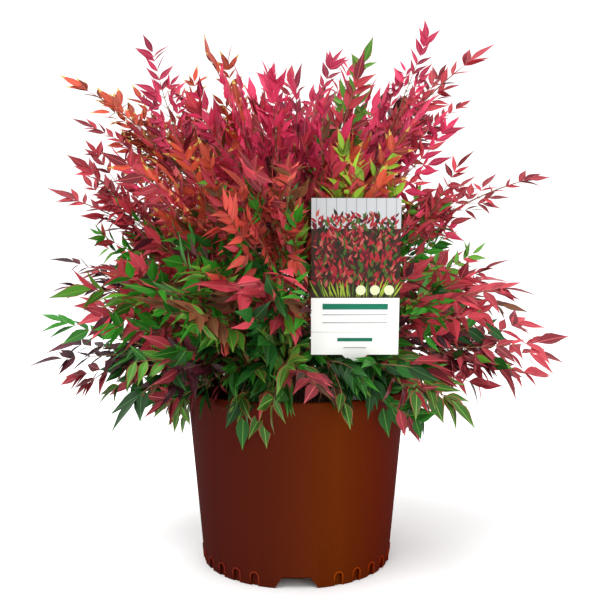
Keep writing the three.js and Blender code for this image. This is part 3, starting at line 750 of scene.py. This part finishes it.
def bark_chips(edge):
    rnd = random.Random(CHIPS.seed)
    chips = Prisms()
    for _ in range(CHIPS.count):
        radius = edge * CHIPS.spread * math.sqrt(rnd.random())
        at = direction(rnd.uniform(0, 360), 0) * radius
        at.z = mulch_height(at.x, at.y) + CHIPS.lift
        turn = Matrix.Rotation(rnd.uniform(0, 2 * math.pi), 4, "Z")
        tilt_x, tilt_y = (Matrix.Rotation(rnd.gauss(0, CHIPS.tilt), 4, axis) for axis in "XY")
        halves = rnd.uniform(*CHIPS.half_length), rnd.uniform(*CHIPS.half_width)
        outline = []
        for corner in CHIPS.outline:
            outline.append([c * half * rnd.uniform(*CHIPS.jitter) for c, half in zip(corner, halves)])
        place = Matrix.Translation(at) @ turn @ (tilt_x @ tilt_y)
        chips.add(outline, place, rnd.uniform(*CHIPS.thickness))
    return chips.mesh("bark_chips")


# ---- Label ----

LEAN = Matrix.Rotation(math.radians(LABEL.lean), 4, "X")
LABEL_FRAME = Matrix.Translation((LABEL.x, LABEL.entry_y, SOIL_TOP)) @ LEAN
TO_LABEL = LABEL_FRAME.inverted()
PRINT = Sizes(
    picture_share=0.63,  # of the card's height
    depth=0.00006,
    layer=0.000006,  # each layer of ink lies this much in front of the last
    fence=0.034,  # height of the strip of fence over the shrub
    slats=9, slat_half=0.0006, shrub_width=0.92,
    shrub_from=0.012, shrub_to=0.008,  # from the picture's bottom and from its top
    rows=29, columns=21,
    crest=(1.2, 1.6, 45),  # its uneven top: how far down and how uneven, in leaves, and the pitch
    leaf=0.0105, leaf_sizes=(0.65, 1.05), leaf_turn=62, leaf_stray=0.2,
    leaf_outline=((0, 0), (0.28, -0.17), (0.55, -0.16), (1, 0), (0.55, 0.16), (0.28, 0.17)),
    blades=44, blade=0.022, blade_sizes=(0.7, 1.15), blade_width=0.28, blade_fan=30, blade_jitter=14,
    tuft_width=0.86,
    seed=29,
)
DOTS = Sizes(count=3, radius=0.0056, pitch=0.016, edge=0.012, up=0.009, sides=28)
# In place of words: a rule's ink, its width over the card's, and its bottom and top over the white field's.
RULES = (
    ("rule", 0.74, 0.80, 0.90),
    ("grey", 0.74, 0.70, 0.715),
    ("grey", 0.74, 0.56, 0.575),
    ("grey", 1, 0.40, 0.405),
    ("rule", 0.4, 0.24, 0.30),
    ("grey", 0.26, 0.12, 0.135),
)
INKS = {
    "sky": (178, 180, 182), "slat": (146, 150, 152), "shade": (52, 34, 26), "red": (150, 38, 46),
    "pale_red": (170, 84, 76), "dark_red": (92, 24, 34), "dark": (34, 36, 22), "green": (60, 84, 34),
    "lime": (136, 158, 52), "cream": (206, 210, 170), "rule": (20, 110, 84), "grey": (150, 150, 150),
}
SHRUB_INKS = {"red": 5, "dark_red": 4, "pale_red": 2, "green": 3, "dark": 3}
BLADE_INKS = {"lime": 4, "green": 2, "dark": 1}


def hits_label(point, room):
    """Whether a point lies in the label, too near it, or in front of its card."""
    p = TO_LABEL @ point
    beside_card = abs(p.x) < LABEL.width / 2 + room
    if p.z > LABEL.bottom:
        return beside_card and p.z < LABEL.bottom + LABEL.height + room and p.y < room
    at_shoulder = p.z > LABEL.bottom - LABEL.shoulder - room
    beside_stem = abs(p.x) < LABEL.stem_width / 2 + room
    return abs(p.y) < room and (beside_card if at_shoulder else beside_stem)


def pick(rnd, mix):
    """One of the names in a mix, by weight."""
    return rnd.choices(list(mix), mix.values())[0]


class Print(Prisms):
    """Flat printed shapes on the card's front, each in its own ink."""

    front = LABEL.thickness / 2

    def next_layer(self):
        self.front += PRINT.layer

    def shape(self, outline, ink):
        """Prints an outline of (across, up) points, seen from the front."""
        upright = LABEL_FRAME @ Matrix.Translation((0, -self.front, 0)) @ Matrix.Rotation(math.pi / 2, 4, "X")
        self.add(outline, upright, PRINT.depth, list(INKS).index(ink))

    def band(self, left, right, bottom, top, ink):
        self.next_layer()
        self.shape([(left, bottom), (right, bottom), (right, top), (left, top)], ink)

    def leaf(self, x, y, angle, length, ink, width=1):
        outline = []
        for along, side in PRINT.leaf_outline:
            across = side * width
            dx = length * (along * math.cos(angle) - across * math.sin(angle))
            dy = length * (along * math.sin(angle) + across * math.cos(angle))
            outline.append((x + dx, y + dy))
        self.shape(outline, ink)


def print_shrub(card, half, bottom, top):
    """A shrub of small leaves with an uneven top, in rows that overlap from its top to its foot."""
    rnd = random.Random(PRINT.seed)
    down, unevenness, pitch = PRINT.crest
    for row in range(PRINT.rows):
        for first in (0, 1):
            card.next_layer()
            for column in range(first, PRINT.columns, 2):
                x = half * (2 * (column + 0.5) / PRINT.columns - 1) * PRINT.shrub_width
                bumps = abs(noise.noise(Vector((x * pitch, 3, 0))))
                crest = top - PRINT.leaf * (down + unevenness * bumps)
                y = crest + (bottom - crest) * row / (PRINT.rows - 1)
                ink = pick(rnd, SHRUB_INKS)
                turn = math.radians(90 + rnd.uniform(-1, 1) * PRINT.leaf_turn)
                size = PRINT.leaf * rnd.uniform(*PRINT.leaf_sizes)
                x += rnd.uniform(-PRINT.leaf_stray, PRINT.leaf_stray) * PRINT.leaf
                card.leaf(x, y, turn, size * (0.7 + 0.3 * math.sin(turn)), ink)


def print_blades(card, half, bottom):
    """Long thin blades that rise in tufts from the picture's foot."""
    rnd = random.Random(PRINT.seed)
    for first in (0, 1, 2, 3):
        card.next_layer()
        for k in range(first, PRINT.blades, 4):
            x = half * (2 * (k + 0.5) / PRINT.blades - 1) * PRINT.tuft_width
            stray = rnd.uniform(-PRINT.blade_jitter, PRINT.blade_jitter)
            turn = math.radians(90 - PRINT.blade_fan * x / half + stray)
            ink = pick(rnd, BLADE_INKS)
            length = PRINT.blade * rnd.uniform(*PRINT.blade_sizes)
            card.leaf(x, bottom, turn, length, ink, PRINT.blade_width)


def make_label_print():
    """A plain picture of foliage over a white field with thin rules: no words, no marks."""
    card = Print()
    half, bottom = LABEL.width / 2, LABEL.bottom
    top = bottom + LABEL.height
    picture = top - LABEL.height * PRINT.picture_share
    card.band(-half, half, picture, top, "sky")
    for k in range(PRINT.slats):
        x = half * (2 * (k + 0.5) / PRINT.slats - 1)
        card.band(x - PRINT.slat_half, x + PRINT.slat_half, top - PRINT.fence, top, "slat")
    card.band(-half, half, picture, top - PRINT.fence, "shade")
    print_shrub(card, half, picture + PRINT.shrub_from, top - PRINT.shrub_to)
    print_blades(card, half, picture)
    for k in range(DOTS.count):
        card.next_layer()
        x = half - DOTS.edge - DOTS.pitch * k
        card.shape(circle(DOTS.radius, DOTS.sides, x, picture + DOTS.up), "cream")
    white = picture - bottom
    for ink, width, low, high in RULES:
        card.band(-half * width, half * width, bottom + white * low, bottom + white * high, ink)
    inks = [print_material(f"ink_{name}", rgb) for name, rgb in INKS.items()]
    add_object("label_print", card.mesh("label_print"), inks, smooth=False)


def dress_label():
    card = print_material("label_card", (244, 244, 240), 0.38)
    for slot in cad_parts["plant_label"].material_slots:
        slot.material = card


# ---- Canes ----

BARK = Sizes(
    core=0.86,  # its mean radius, over the solid cane's
    foot_depth=0.004,  # how far a cane runs on into the potting mix
    sides=14, ring_spacing=0.0026, ridges=5, ridge=0.00035, ridge_twist=40, grain=(2, 300),
    joint_spacing=0.023, joint=0.0011, joint_width=0.0021,
)


class Cane:
    """A cane that rises from the potting mix and leans outwards. A share of 0 is its foot and 1 its tip."""

    def __init__(self, name, azimuth, ring):
        self.name = name
        self.foot = direction(azimuth, 0) * ring.foot + UP * (SOIL_TOP + GAP)
        self.head = direction(azimuth, 0) * ring.head + UP * ring.top
        self.rise = ring.top - self.foot.z

    def at(self, share):
        point = self.foot.lerp(self.head, share**CANE.lean_power)
        point.z = self.foot.z + self.rise * share
        return point

    def radius(self, share):
        plain = CANE.base_radius + (CANE.tip_radius - CANE.base_radius) * share
        flare = max(0.0, 1 - share * self.rise / CANE.flare_height)
        return plain + (CANE.flare_radius - CANE.base_radius) * flare * flare


def cane_ring(prefix, ring):
    turns = [ring.turn + 360 / ring.count * k for k in range(ring.count)]
    return [Cane(f"{prefix}_{k + 1}", turn, ring) for k, turn in enumerate(turns)]


def add_cane(tubes, cane, rnd):
    """One cane with ridged bark and the raised joints where old leaves have dropped."""
    count = math.ceil(cane.rise / BARK.ring_spacing)
    shares = [i / count for i in range(count + 1)]
    phase, first = rnd.uniform(0, 2 * math.pi), rnd.uniform(0.3, 1) * BARK.joint_spacing
    around, up = BARK.grain

    def relief(i, angle):
        height = shares[i] * cane.rise
        ridge = BARK.ridge * math.sin(BARK.ridges * angle + phase + BARK.ridge_twist * height)
        ridge += BARK.ridge * noise.noise(Vector((angle * around, height * up, phase)))
        off = (height - first + BARK.joint_spacing / 2) % BARK.joint_spacing - BARK.joint_spacing / 2
        return ridge + BARK.joint * math.exp(-((off / BARK.joint_width) ** 2))

    path = [cane.at(share) for share in shares]
    path[0].z = SOIL_TOP - BARK.foot_depth
    tubes.add(path, [cane.radius(share) * BARK.core for share in shares], BARK.sides, relief)


def make_canes(canes):
    tubes = Tubes()
    rnd = random.Random(FIRST_SEED)
    for cane in canes:
        add_cane(tubes, cane, rnd)
    bark = [bark_material("cane_bark", (58, 40, 30), (132, 98, 70))]
    add_object("canes", tubes.mesh("canes"), bark, [cane.name for cane in canes])


# ---- Masses of foliage ----


class Mass:
    """One mass of leaves: a stem with its elevations, its reach, and the cane that carries it."""

    def __init__(self, ring_name, k, cane):
        self.name = f"{ring_name}_{k + 1}"
        self.ring = ring = RINGS[ring_name]
        special = SPECIAL.get(self.name, {})
        self.azimuth = ring.turn + 360 / ring.count * k + special.get("turn", 0)
        self.start = special.get("start", ring.start)
        self.tip = special.get("tip", ring.tip)
        sideways = abs(math.cos(math.radians(self.azimuth)))
        self.reach = special.get("reach", ring.reach * (ring.depth + (1 - ring.depth) * sideways))
        self.axis = direction(self.azimuth, self.start + (self.tip - self.start) * STEM.axis_at)
        self.cane = cane
        self.leaf = LARGE_LEAVES.get(self.name, ring.leaf)
        self.single_leaves = OPEN_SPRAYS.get(self.name, PINNA.from_rest)
        self.set_kinds(ring_name)

    def set_kinds(self, ring_name):
        """What its sprays are: the mixes of its red ones and its inner ones, and the share of green ones."""
        side = self.side()
        self.red_mix = RED_MIX.get(f"{ring_name}_{side}", RED_MIX[ring_name])
        self.inner_mix = INNER_MIX.get(ring_name, INNER_MIX["all"])
        if self.name == LIME_MASS:
            self.red_mix = self.inner_mix = LIME_MIX
        self.green_share = GREEN_MASSES.get(self.name, GREEN_SHARE[side])

    def side(self):
        """The side of the crown that it grows at, or all between the sides."""
        turn = self.azimuth % 360
        if turn < RIGHT_WITHIN or turn > 360 - RIGHT_WITHIN:
            return "right"
        start, end = LEFT_BETWEEN
        return "left" if start < turn < end else "all"

    def seat_point(self):
        """Where the stem starts, just clear of its cane."""
        seat = self.ring.seat
        axis = heading(self.cane.at, seat - STEM.seat_below, seat)
        if seat == 1:
            return self.cane.at(1) + axis * GAP
        faces = square_to(direction(self.azimuth, 0), axis)
        return self.cane.at(seat) + faces * (self.cane.radius(seat) + GAP)

    def stem_line(self):
        """The stem's line: an arc of changing elevation from its seat to where its last leaves start."""
        offset = self.seat_point() - CENTRE
        end_radius = self.reach - self.leaf

        def line(s):
            elevation = self.start + (self.tip - self.start) * s**STEM.bend_power
            radius = offset.length + (end_radius - offset.length) * s
            on_arc = direction(self.azimuth, elevation) * radius
            blend = max(0.0, 1 - s * STEM.seat_fade) ** 2
            return CENTRE + on_arc.lerp(offset * (1 + s), blend)

        return line, end_radius - offset.length

    def has_room(self, points, reach_share):
        """Whether points stay in the mass's space and clear of the pot and the label."""
        for point in points:
            offset = point - CENTRE
            out = offset.length
            reach = self.reach * reach_share * (1 - AXIS_FALL * (1 - offset.dot(self.axis) / out))
            if not INNER_CLEAR < out < reach or point.z > CROWN_TOP:
                return False
            if (self.planes @ np.array(offset)).min() < -CELL_SLACK:
                return False
            overhang = max(0.0, math.hypot(point.x, point.y) - UNDERSIDE.start)
            if point.z < UNDERSIDE.height + UNDERSIDE.slope * overhang:
                return False
            if hits_label(point, CLEAR.label) or hits_pot(point, CLEAR.pot):
                return False
        return True


def plan(outer, inner, centre):
    """All the masses, each with the planes that part its space from the others'."""
    masses = []
    for name, ring in RINGS.items():
        for k in range(ring.count):
            cane = {"top": [centre], "crown": inner}.get(name, outer)[k]
            masses.append(Mass(name, k, cane))
    for mass in masses:
        others = [mass.axis - other.axis for other in masses if other is not mass]
        mass.planes = np.array([other.normalized() for other in others])
    return masses


def hits_pot(point, room):
    """Whether a point lies in the pot, its mouth or the potting mix, or too near them."""
    if point.z > POT.height + room:
        return False
    near_lip = point.z > WALL_TOP - room
    outside = POT.lip_radius if near_lip else wall_radius(point.z)
    return math.hypot(point.x, point.y) < outside + room


# ---- Leaves ----

# Along a leaf: how far along each row of corners lies, and the leaf's half width there over its widest.
LEAF_ROWS = ((0, 0.08), (0.07, 0.34), (0.18, 0.74), (0.32, 1), (0.50, 0.88), (0.73, 0.42), (0.87, 0.17))
RIB_HALF = 0.008  # of the leaf's length, for a leaf of usual width
RIB_MOST = 0.3  # of the half width
USUAL_WIDTH = 0.34  # of the leaf's length
MARGIN_FROM = 0.87  # of the half width
TIP_FROM = 0.70  # of the length
BLADE, RIB, TRIM = 0, 1, 2
PAINTED_SHADE_COUNT = len(PAINTED_SHADES.factors)


class LeafShape:
    """A leaf's corners and triangles in its own frame, for leaves with or without a coloured margin."""

    def __init__(self, trim_at):
        margin = [MARGIN_FROM] if trim_at == "margin" else []
        self.columns = [-1, *(-column for column in margin), None, None, *margin, 1]
        self.trim_at = trim_at
        along, across = [], []
        for share, half in LEAF_ROWS:
            half /= 2
            rib = min(RIB_HALF, half * RIB_MOST) / USUAL_WIDTH
            ribs = iter((-rib, rib))
            for column in self.columns:
                along.append(share)
                across.append(next(ribs) if column is None else column * half)
        self.along, self.across = np.array([*along, 1]), np.array([*across, 0])
        self.triangles, self.parts = self.faces()

    def faces(self):
        count, last = len(self.columns), len(LEAF_ROWS) - 1
        tip = len(self.along) - 1
        triangles, parts = [], []
        for i in range(last + 1):
            for j in range(count - 1):
                a, b = i * count + j, i * count + j + 1
                if i == last:
                    triangles.append((a, tip, b))
                else:
                    triangles += [(a, a + count, b), (b, a + count, b + count)]
                parts += [self.part(i, j)] * (len(triangles) - len(parts))
        return np.array(triangles), np.array(parts)

    def part(self, i, j):
        if self.columns[j] is None and self.columns[j + 1] is None:
            return RIB
        if self.trim_at == "tip" and LEAF_ROWS[i][0] > TIP_FROM:
            return TRIM
        at_edge = j in (0, len(self.columns) - 2)
        return TRIM if self.trim_at == "margin" and at_edge else BLADE


def share_between(value, ends):
    start, end = ends
    return (value - start) / (end - start)


class Leaves:
    """All the leaves of one kind."""

    def __init__(self, kind):
        self.kind = kind
        self.shape = LeafShape(KINDS[kind].trim_at)
        self.rows = []
        self.masses = set()

    def add(self, mass, root, forward, normal, length, shade, rnd):
        width = mass.ring.width * rnd.uniform(*LEAF.widths)
        fold, droop = rnd.uniform(*LEAF.folds), rnd.uniform(*LEAF.droops)
        # Painted light and shade: the blade takes a darker copy of its colour low in the crown and a lighter
        # one high up or out at the sides, more so at the right, with a random spread.
        sideways = share_between(abs(root.x), PAINTED_SHADES.sides)
        if root.x < 0:
            sideways *= PAINTED_SHADES.left
        light = min(1, max(0, share_between(root.z, PAINTED_SHADES.heights), sideways))
        shade += PAINTED_SHADES.low + (PAINTED_SHADES.high - PAINTED_SHADES.low) * light
        shade = min(PAINTED_SHADE_COUNT - 1, max(0, round(rnd.gauss(shade, PAINTED_SHADES.spread))))
        across = normal.cross(forward)
        self.rows.append((*root, *forward, *across, *normal, length, width, fold, droop, shade))
        self.masses.add(mass.name)

    def mesh(self, name):
        rows = np.array(self.rows)
        root, forward, across, normal = (rows[:, None, 3 * i : 3 * i + 3] for i in range(4))
        length, width, fold, droop = (rows[:, None, 12 + i, None] for i in range(4))
        t = self.shape.along[None, :, None]
        s = self.shape.across[None, :, None] * width
        lift = fold * np.abs(s) - droop * t**2
        points = root + length * (t * forward + s * across + lift * normal)
        first = np.arange(len(rows))[:, None, None] * len(self.shape.along)
        triangles = self.shape.triangles[None] + first
        shades = rows[:, 16].astype(int)[:, None]
        parts = self.shape.parts[None]
        slots = np.where(parts == BLADE, shades, PAINTED_SHADE_COUNT - 1 + parts)
        lists = (points.reshape(-1, 3), triangles.reshape(-1, 3), slots.ravel())
        return mesh_of(name, *(array.tolist() for array in lists))


def make_leaves(leaves):
    kind = KINDS[leaves.kind]
    name = f"leaves_{leaves.kind}"
    # One material for each painted shade of the blade, from the darkest to the lightest, then the rib's and
    # the trim's.
    materials = [leaf_material(f"{name}_{i}", kind.blade, f) for i, f in enumerate(PAINTED_SHADES.factors)]
    materials.append(leaf_material(f"{name}_rib", kind.rib))
    if kind.trim:
        materials.append(leaf_material(f"{name}_trim", kind.trim))
    nodes = [f"foliage_{mass}" for mass in sorted(leaves.masses)]
    add_object(name, leaves.mesh(name), materials, nodes)


# ---- Growth ----


class Wand:
    """A curved line from its foot past a knee to its tip."""

    def __init__(self, foot, knee, tip):
        self.foot, self.knee, self.tip = foot, knee, tip
        self.shares = [i / WAND.samples for i in range(WAND.samples + 1)]
        points = [self.at(share) for share in self.shares]
        self.distances = [0.0]
        for before, after in zip(points, points[1:]):
            self.distances.append(self.distances[-1] + (after - before).length)
        self.length = self.distances[-1]

    @classmethod
    def leaving(cls, start, outset, outward, length, sag):
        """A wand that leaves its stem at an angle and straightens towards its tip."""
        ahead = (outset.lerp(outward, WAND.straighten) - UP * sag).normalized()
        knee = start + outset * (length / 2)
        return cls(start, knee, knee + ahead * (length / 2))

    def share_at(self, distance):
        """How far along the line, from 0 to 1, a point at this distance from its foot is."""
        return float(np.interp(distance, self.distances, self.shares))

    def at(self, t):
        return self.foot.lerp(self.knee, t).lerp(self.knee.lerp(self.tip, t), t)

    def along(self, t):
        return (self.knee.lerp(self.tip, t) - self.foot.lerp(self.knee, t)).normalized()


def upward(along, roll):
    """The way that a spray faces: up, square to its twig, then rolled round it."""
    return turned(square_to(UP, along), along, roll)


def frontward(along):
    """The way that a spray faces where it stands out of the crown: up and to the front."""
    return square_to(UP + FRONT * SHOOT.front, along)


class Grower:
    """Grows the masses, and collects their boughs, twigs and leaves."""

    def __init__(self):
        self.boughs = Tubes()
        self.twigs = Tubes()
        self.leaves = {kind: Leaves(kind) for kind in KINDS}

    def grow(self, mass, seed):
        """One mass: its stem with pairs of wands, the leaves of the stem's end, and the long shoots."""
        self.mass = mass
        self.rnd = random.Random(seed)
        self.leaf_size, self.hang, self.shade = mass.leaf, mass.ring.hang, 0
        self.reach_share, kept = SLENDER.get(mass.name, (WAND.reach_share, 1))
        line, length = mass.stem_line()
        turn = self.rnd.uniform(-STEM.roll, STEM.roll)
        self.boughs.taper(line, BOUGH)
        share = NODES.first
        while share < NODES.outer_from:
            self.pair(line, share, turn)
            turn += NODES.turn
            share += mass.ring.pairs / kept / length * self.rnd.uniform(*NODES.jitter)
        self.choose_kinds(STEM_ENDS.get(mass.name))
        self.shade, self.reach_share = SHOOT.shade, SHOOT.reach_share
        while share < 1:
            along, normal = self.stem_frame(line, share - NODES.outer_back, share, turn)
            self.pinnae(line(share), along, normal, (1 - share) * length)
            share += WAND.spacing * mass.leaf / length * self.rnd.uniform(*NODES.outer_jitter)
        along, normal = self.stem_frame(line, STEM.end_from, 1, turn)
        self.three_leaves(line(1), along, normal, mass.leaf * STEM.end_leaf)
        self.leaf_size = mass.leaf * SHOOT.leaf
        for shoot in SHOOTS.get(mass.name, ()):
            self.shoot(line, *shoot)

    def fits(self, points):
        return self.mass.has_room(points, self.reach_share)

    def stem_frame(self, line, start, end, turn):
        """The direction of this stretch of the stem, and the way that its leaves face."""
        along = heading(line, start, end)
        return along, frontward(along) if self.mass.name in STEM_ENDS else upward(along, turn)

    def choose_kinds(self, kind=None):
        """Picks the kinds of one wand's leaves: the red ones, the green ones and the inner ones."""
        if kind:
            self.mix = {kind: 1}
            self.red_kind = self.green_kind = self.inner_kind = kind
            return
        self.mix = self.mass.red_mix
        self.red_kind = pick(self.rnd, self.mix)
        self.green_kind = pick(self.rnd, GREEN_MIX)
        self.inner_kind = pick(self.rnd, self.mass.inner_mix)
        self.chance = self.rnd.random()

    def kind_at(self, point):
        """A spray's kind: mostly the inner one near the centre, then green low down and red high up."""
        out = (point - CENTRE).length / self.mass.reach
        if self.rnd.random() > (out - INNER_KINDS.all_to) * INNER_KINDS.fade:
            return self.inner_kind
        low = min(1, max(0, share_between(point.z, (RED_ABOVE, GREEN_BELOW))))
        high_share = GREEN_SHARE["high"]
        green_share = high_share + (self.mass.green_share - high_share) * low
        return self.green_kind if self.chance < green_share else self.red_kind

    def pair(self, line, share, turn):
        """A pair of wands at one node of the stem."""
        start = line(share)
        along = heading(line, share - NODES.beside, share + NODES.beside)
        normal = upward(along, turn)
        rest = self.mass.reach - self.mass.leaf - (start - CENTRE).length
        shortest, longest = WAND.rest
        for side in (1, -1):
            spread = WAND.spread + self.rnd.uniform(-WAND.spread_jitter, WAND.spread_jitter)
            outset = turned(along, normal, side * spread)
            share_of_rest = shortest + (longest - shortest) * self.rnd.random() ** WAND.rest_power
            self.choose_kinds()
            self.wand(start, outset, along, WAND.least + rest * share_of_rest, normal)

    def wand(self, start, outset, outward, length, normal):
        """One wand, as long as there is room for it."""
        sag = WAND.sag * max(0.0, self.mass.ring.hang)
        for size in WAND.sizes:
            wand = Wand.leaving(start, outset, outward, length * size, sag)
            if self.fits([wand.at((i + 1) / WAND.clear_steps) for i in range(1, WAND.clear_steps)]):
                self.dress(wand, normal)
                return

    def shoot(self, line, azimuth, elevation, distance, kind):
        """A long thin wand from the stem to a tip of its own, with leaves of one kind."""
        foot = line(SHOOT.root)
        outward = direction(azimuth, elevation)
        if outward.dot(FRONT) > SHOOT.at_front:
            self.hang, self.shade = SHOOT.front_hang, SHOOT.front_shade
            self.leaf_size = self.mass.leaf * SHOOT.front_leaf
        tip = CENTRE + outward * (distance - self.leaf_size)
        along = heading(line, SHOOT.root, SHOOT.root_to)
        knee = foot + along * ((tip - foot).length * SHOOT.straight)
        self.choose_kinds(kind)
        wand = Wand(foot, knee, tip)
        self.dress(wand, frontward(wand.along(1)))

    def dress(self, wand, normal):
        """Adds a wand's twig, the pairs of pinnae along it and the three leaves at its end."""
        self.twigs.taper(wand.at, WAND)
        spacing = WAND.spacing * self.leaf_size
        at = WAND.first
        while at < wand.length - WAND.end_room * spacing:
            share = wand.share_at(at)
            self.pinnae(wand.at(share), wand.along(share), normal, wand.length - at)
            at += spacing * (1 - WAND.closing * share) * self.rnd.uniform(*WAND.jitter)
        self.three_leaves(wand.tip, wand.along(1), normal, self.leaf_size)

    def pinnae(self, point, along, normal, rest):
        """A pair of pinnae: short twigs with three leaves, or one leaf each near the wand's tip."""
        for side in (1, -1):
            outset = turned(along, normal, side * LEAF.side_turn)
            if rest < self.mass.single_leaves:
                self.leaf(point, outset, normal, self.leaf_size * LEAF.side_share, self.kind_at(point))
                continue
            length = min(PINNA.longest, PINNA.base + PINNA.share * rest) * self.rnd.uniform(*PINNA.jitter)
            end = point + outset * length
            if self.fits([end]):
                self.twigs.taper(lambda share: point.lerp(end, share), PINNA)
                self.three_leaves(end, outset, normal, self.leaf_size * LEAF.pinna_share)

    def three_leaves(self, root, along, normal, length):
        kind = self.kind_at(root)
        self.leaf(root, along, normal, length, kind)
        below = root - along * (length * LEAF.stalk)
        for side in (1, -1):
            forward = turned(along, normal, side * LEAF.side_turn)
            self.leaf(below, forward, normal, length * LEAF.side_share, kind)

    def leaf(self, root, forward, normal, length, kind):
        """One leaf, turned part of the way towards the light and down, where it has room."""
        rnd = self.rnd
        forward = turned(forward, normal, rnd.gauss(0, LEAF.jitter))
        forward = (forward - UP * (self.hang * rnd.uniform(*LEAF.hangs))).normalized()
        beside = max(LEAF.light_core, math.hypot(root.x, root.y))
        light = Vector((root.x, root.y, 0)) / beside + UP * LEAF.light_up
        face = normal * LEAF.plane_pull + light * LEAF.light_pull
        face += Vector([rnd.gauss(0, LEAF.face_jitter) for _ in range(3)])
        normal = square_to(face, forward)
        out = min(1, (root - CENTRE).length / self.mass.reach)
        length *= rnd.uniform(*LEAF.lengths) * (LEAF.inner + (1 - LEAF.inner) * out)
        for size in LEAF.sizes:
            reach = length * size
            if self.fits([root + forward * (reach * t) for t in (0.5, 1)]):
                if rnd.random() < STRAY:
                    kind = pick(rnd, self.mix)
                self.leaves[kind].add(self.mass, root, forward, normal, reach, self.shade, rnd)
                return


def make_foliage(masses):
    grower = Grower()
    for i, mass in enumerate(masses):
        grower.grow(mass, FIRST_SEED + i)
    for leaves in grower.leaves.values():
        if leaves.rows:
            make_leaves(leaves)
    nodes = [f"foliage_{mass.name}" for mass in masses]
    bark = [bark_material("bough_bark", (92, 52, 40), (150, 96, 66), 140)]
    add_object("boughs", grower.boughs.mesh("boughs"), bark, nodes)
    green_bark = [bark_material("twig_bark", (110, 50, 44), (150, 120, 70), 160)]
    add_object("twigs", grower.twigs.mesh("twigs"), green_bark, nodes)


# ---- Stage, light and camera ----

FLOOR_HALF = 6.0
LIGHT = Sizes(
    sky=1.25, sun=1.8, sun_width=36, sun_from=(232, 63),
    fill=6, fill_size=0.8, fill_at=Vector((1.1, -1.6, 0.7)), fill_to=Vector((0, 0, 0.3)),
)
CAMERA = Sizes(lens=45, sensor=36, at=(0, -0.971, 0.353), down=1.41, right=0.27)


def make_stage():
    half = FLOOR_HALF
    points = [(-half, -half, 0), (half, -half, 0), (half, half, 0), (-half, half, 0)]
    mesh = mesh_of("floor", points, [(0, 1, 2), (0, 2, 3)])
    mesh.materials.append(floor_material())
    in_scene("floor", mesh)


def add_light(name, kind, energy, along):
    """A light that shines in this direction, as an object and its data."""
    light = bpy.data.lights.new(name, kind)
    light.energy = energy
    lamp = in_scene(name, light)
    lamp.rotation_euler = along.to_track_quat("-Z", "Y").to_euler()
    return lamp, light


def make_light():
    """A white studio: an even sky, a soft sun from the front left and a weak lamp from the front right."""
    world = bpy.data.worlds.new("studio")
    world.use_nodes = True
    background = world.node_tree.nodes["Background"]
    background.inputs["Color"].default_value = (1, 1, 1, 1)
    background.inputs["Strength"].default_value = LIGHT.sky
    bpy.context.scene.world = world
    _, sun = add_light("key", "SUN", LIGHT.sun, -direction(*LIGHT.sun_from))
    sun.angle = math.radians(LIGHT.sun_width)
    lamp, fill = add_light("fill", "AREA", LIGHT.fill, LIGHT.fill_to - LIGHT.fill_at)
    lamp.location = LIGHT.fill_at
    fill.shape = "DISK"
    fill.size = LIGHT.fill_size
    bpy.context.scene.view_settings.view_transform = "Standard"


def make_camera():
    data = bpy.data.cameras.new("camera")
    data.lens = CAMERA.lens
    data.sensor_width = CAMERA.sensor
    camera = in_scene("camera", data)
    camera.location = CAMERA.at
    camera.rotation_euler = (math.radians(90 - CAMERA.down), 0, math.radians(-CAMERA.right))
    bpy.context.scene.camera = camera


def main():
    outer = cane_ring("cane_outer", OUTER_CANES)
    inner = cane_ring("cane_inner", INNER_CANES)
    centre = Cane("cane_centre", CENTRE_CANE.turn, CENTRE_CANE)
    make_pot()
    make_mulch()
    dress_label()
    make_label_print()
    make_canes([*outer, *inner, centre])
    make_foliage(plan(outer, inner, centre))
    make_stage()
    make_light()
    make_camera()


main()
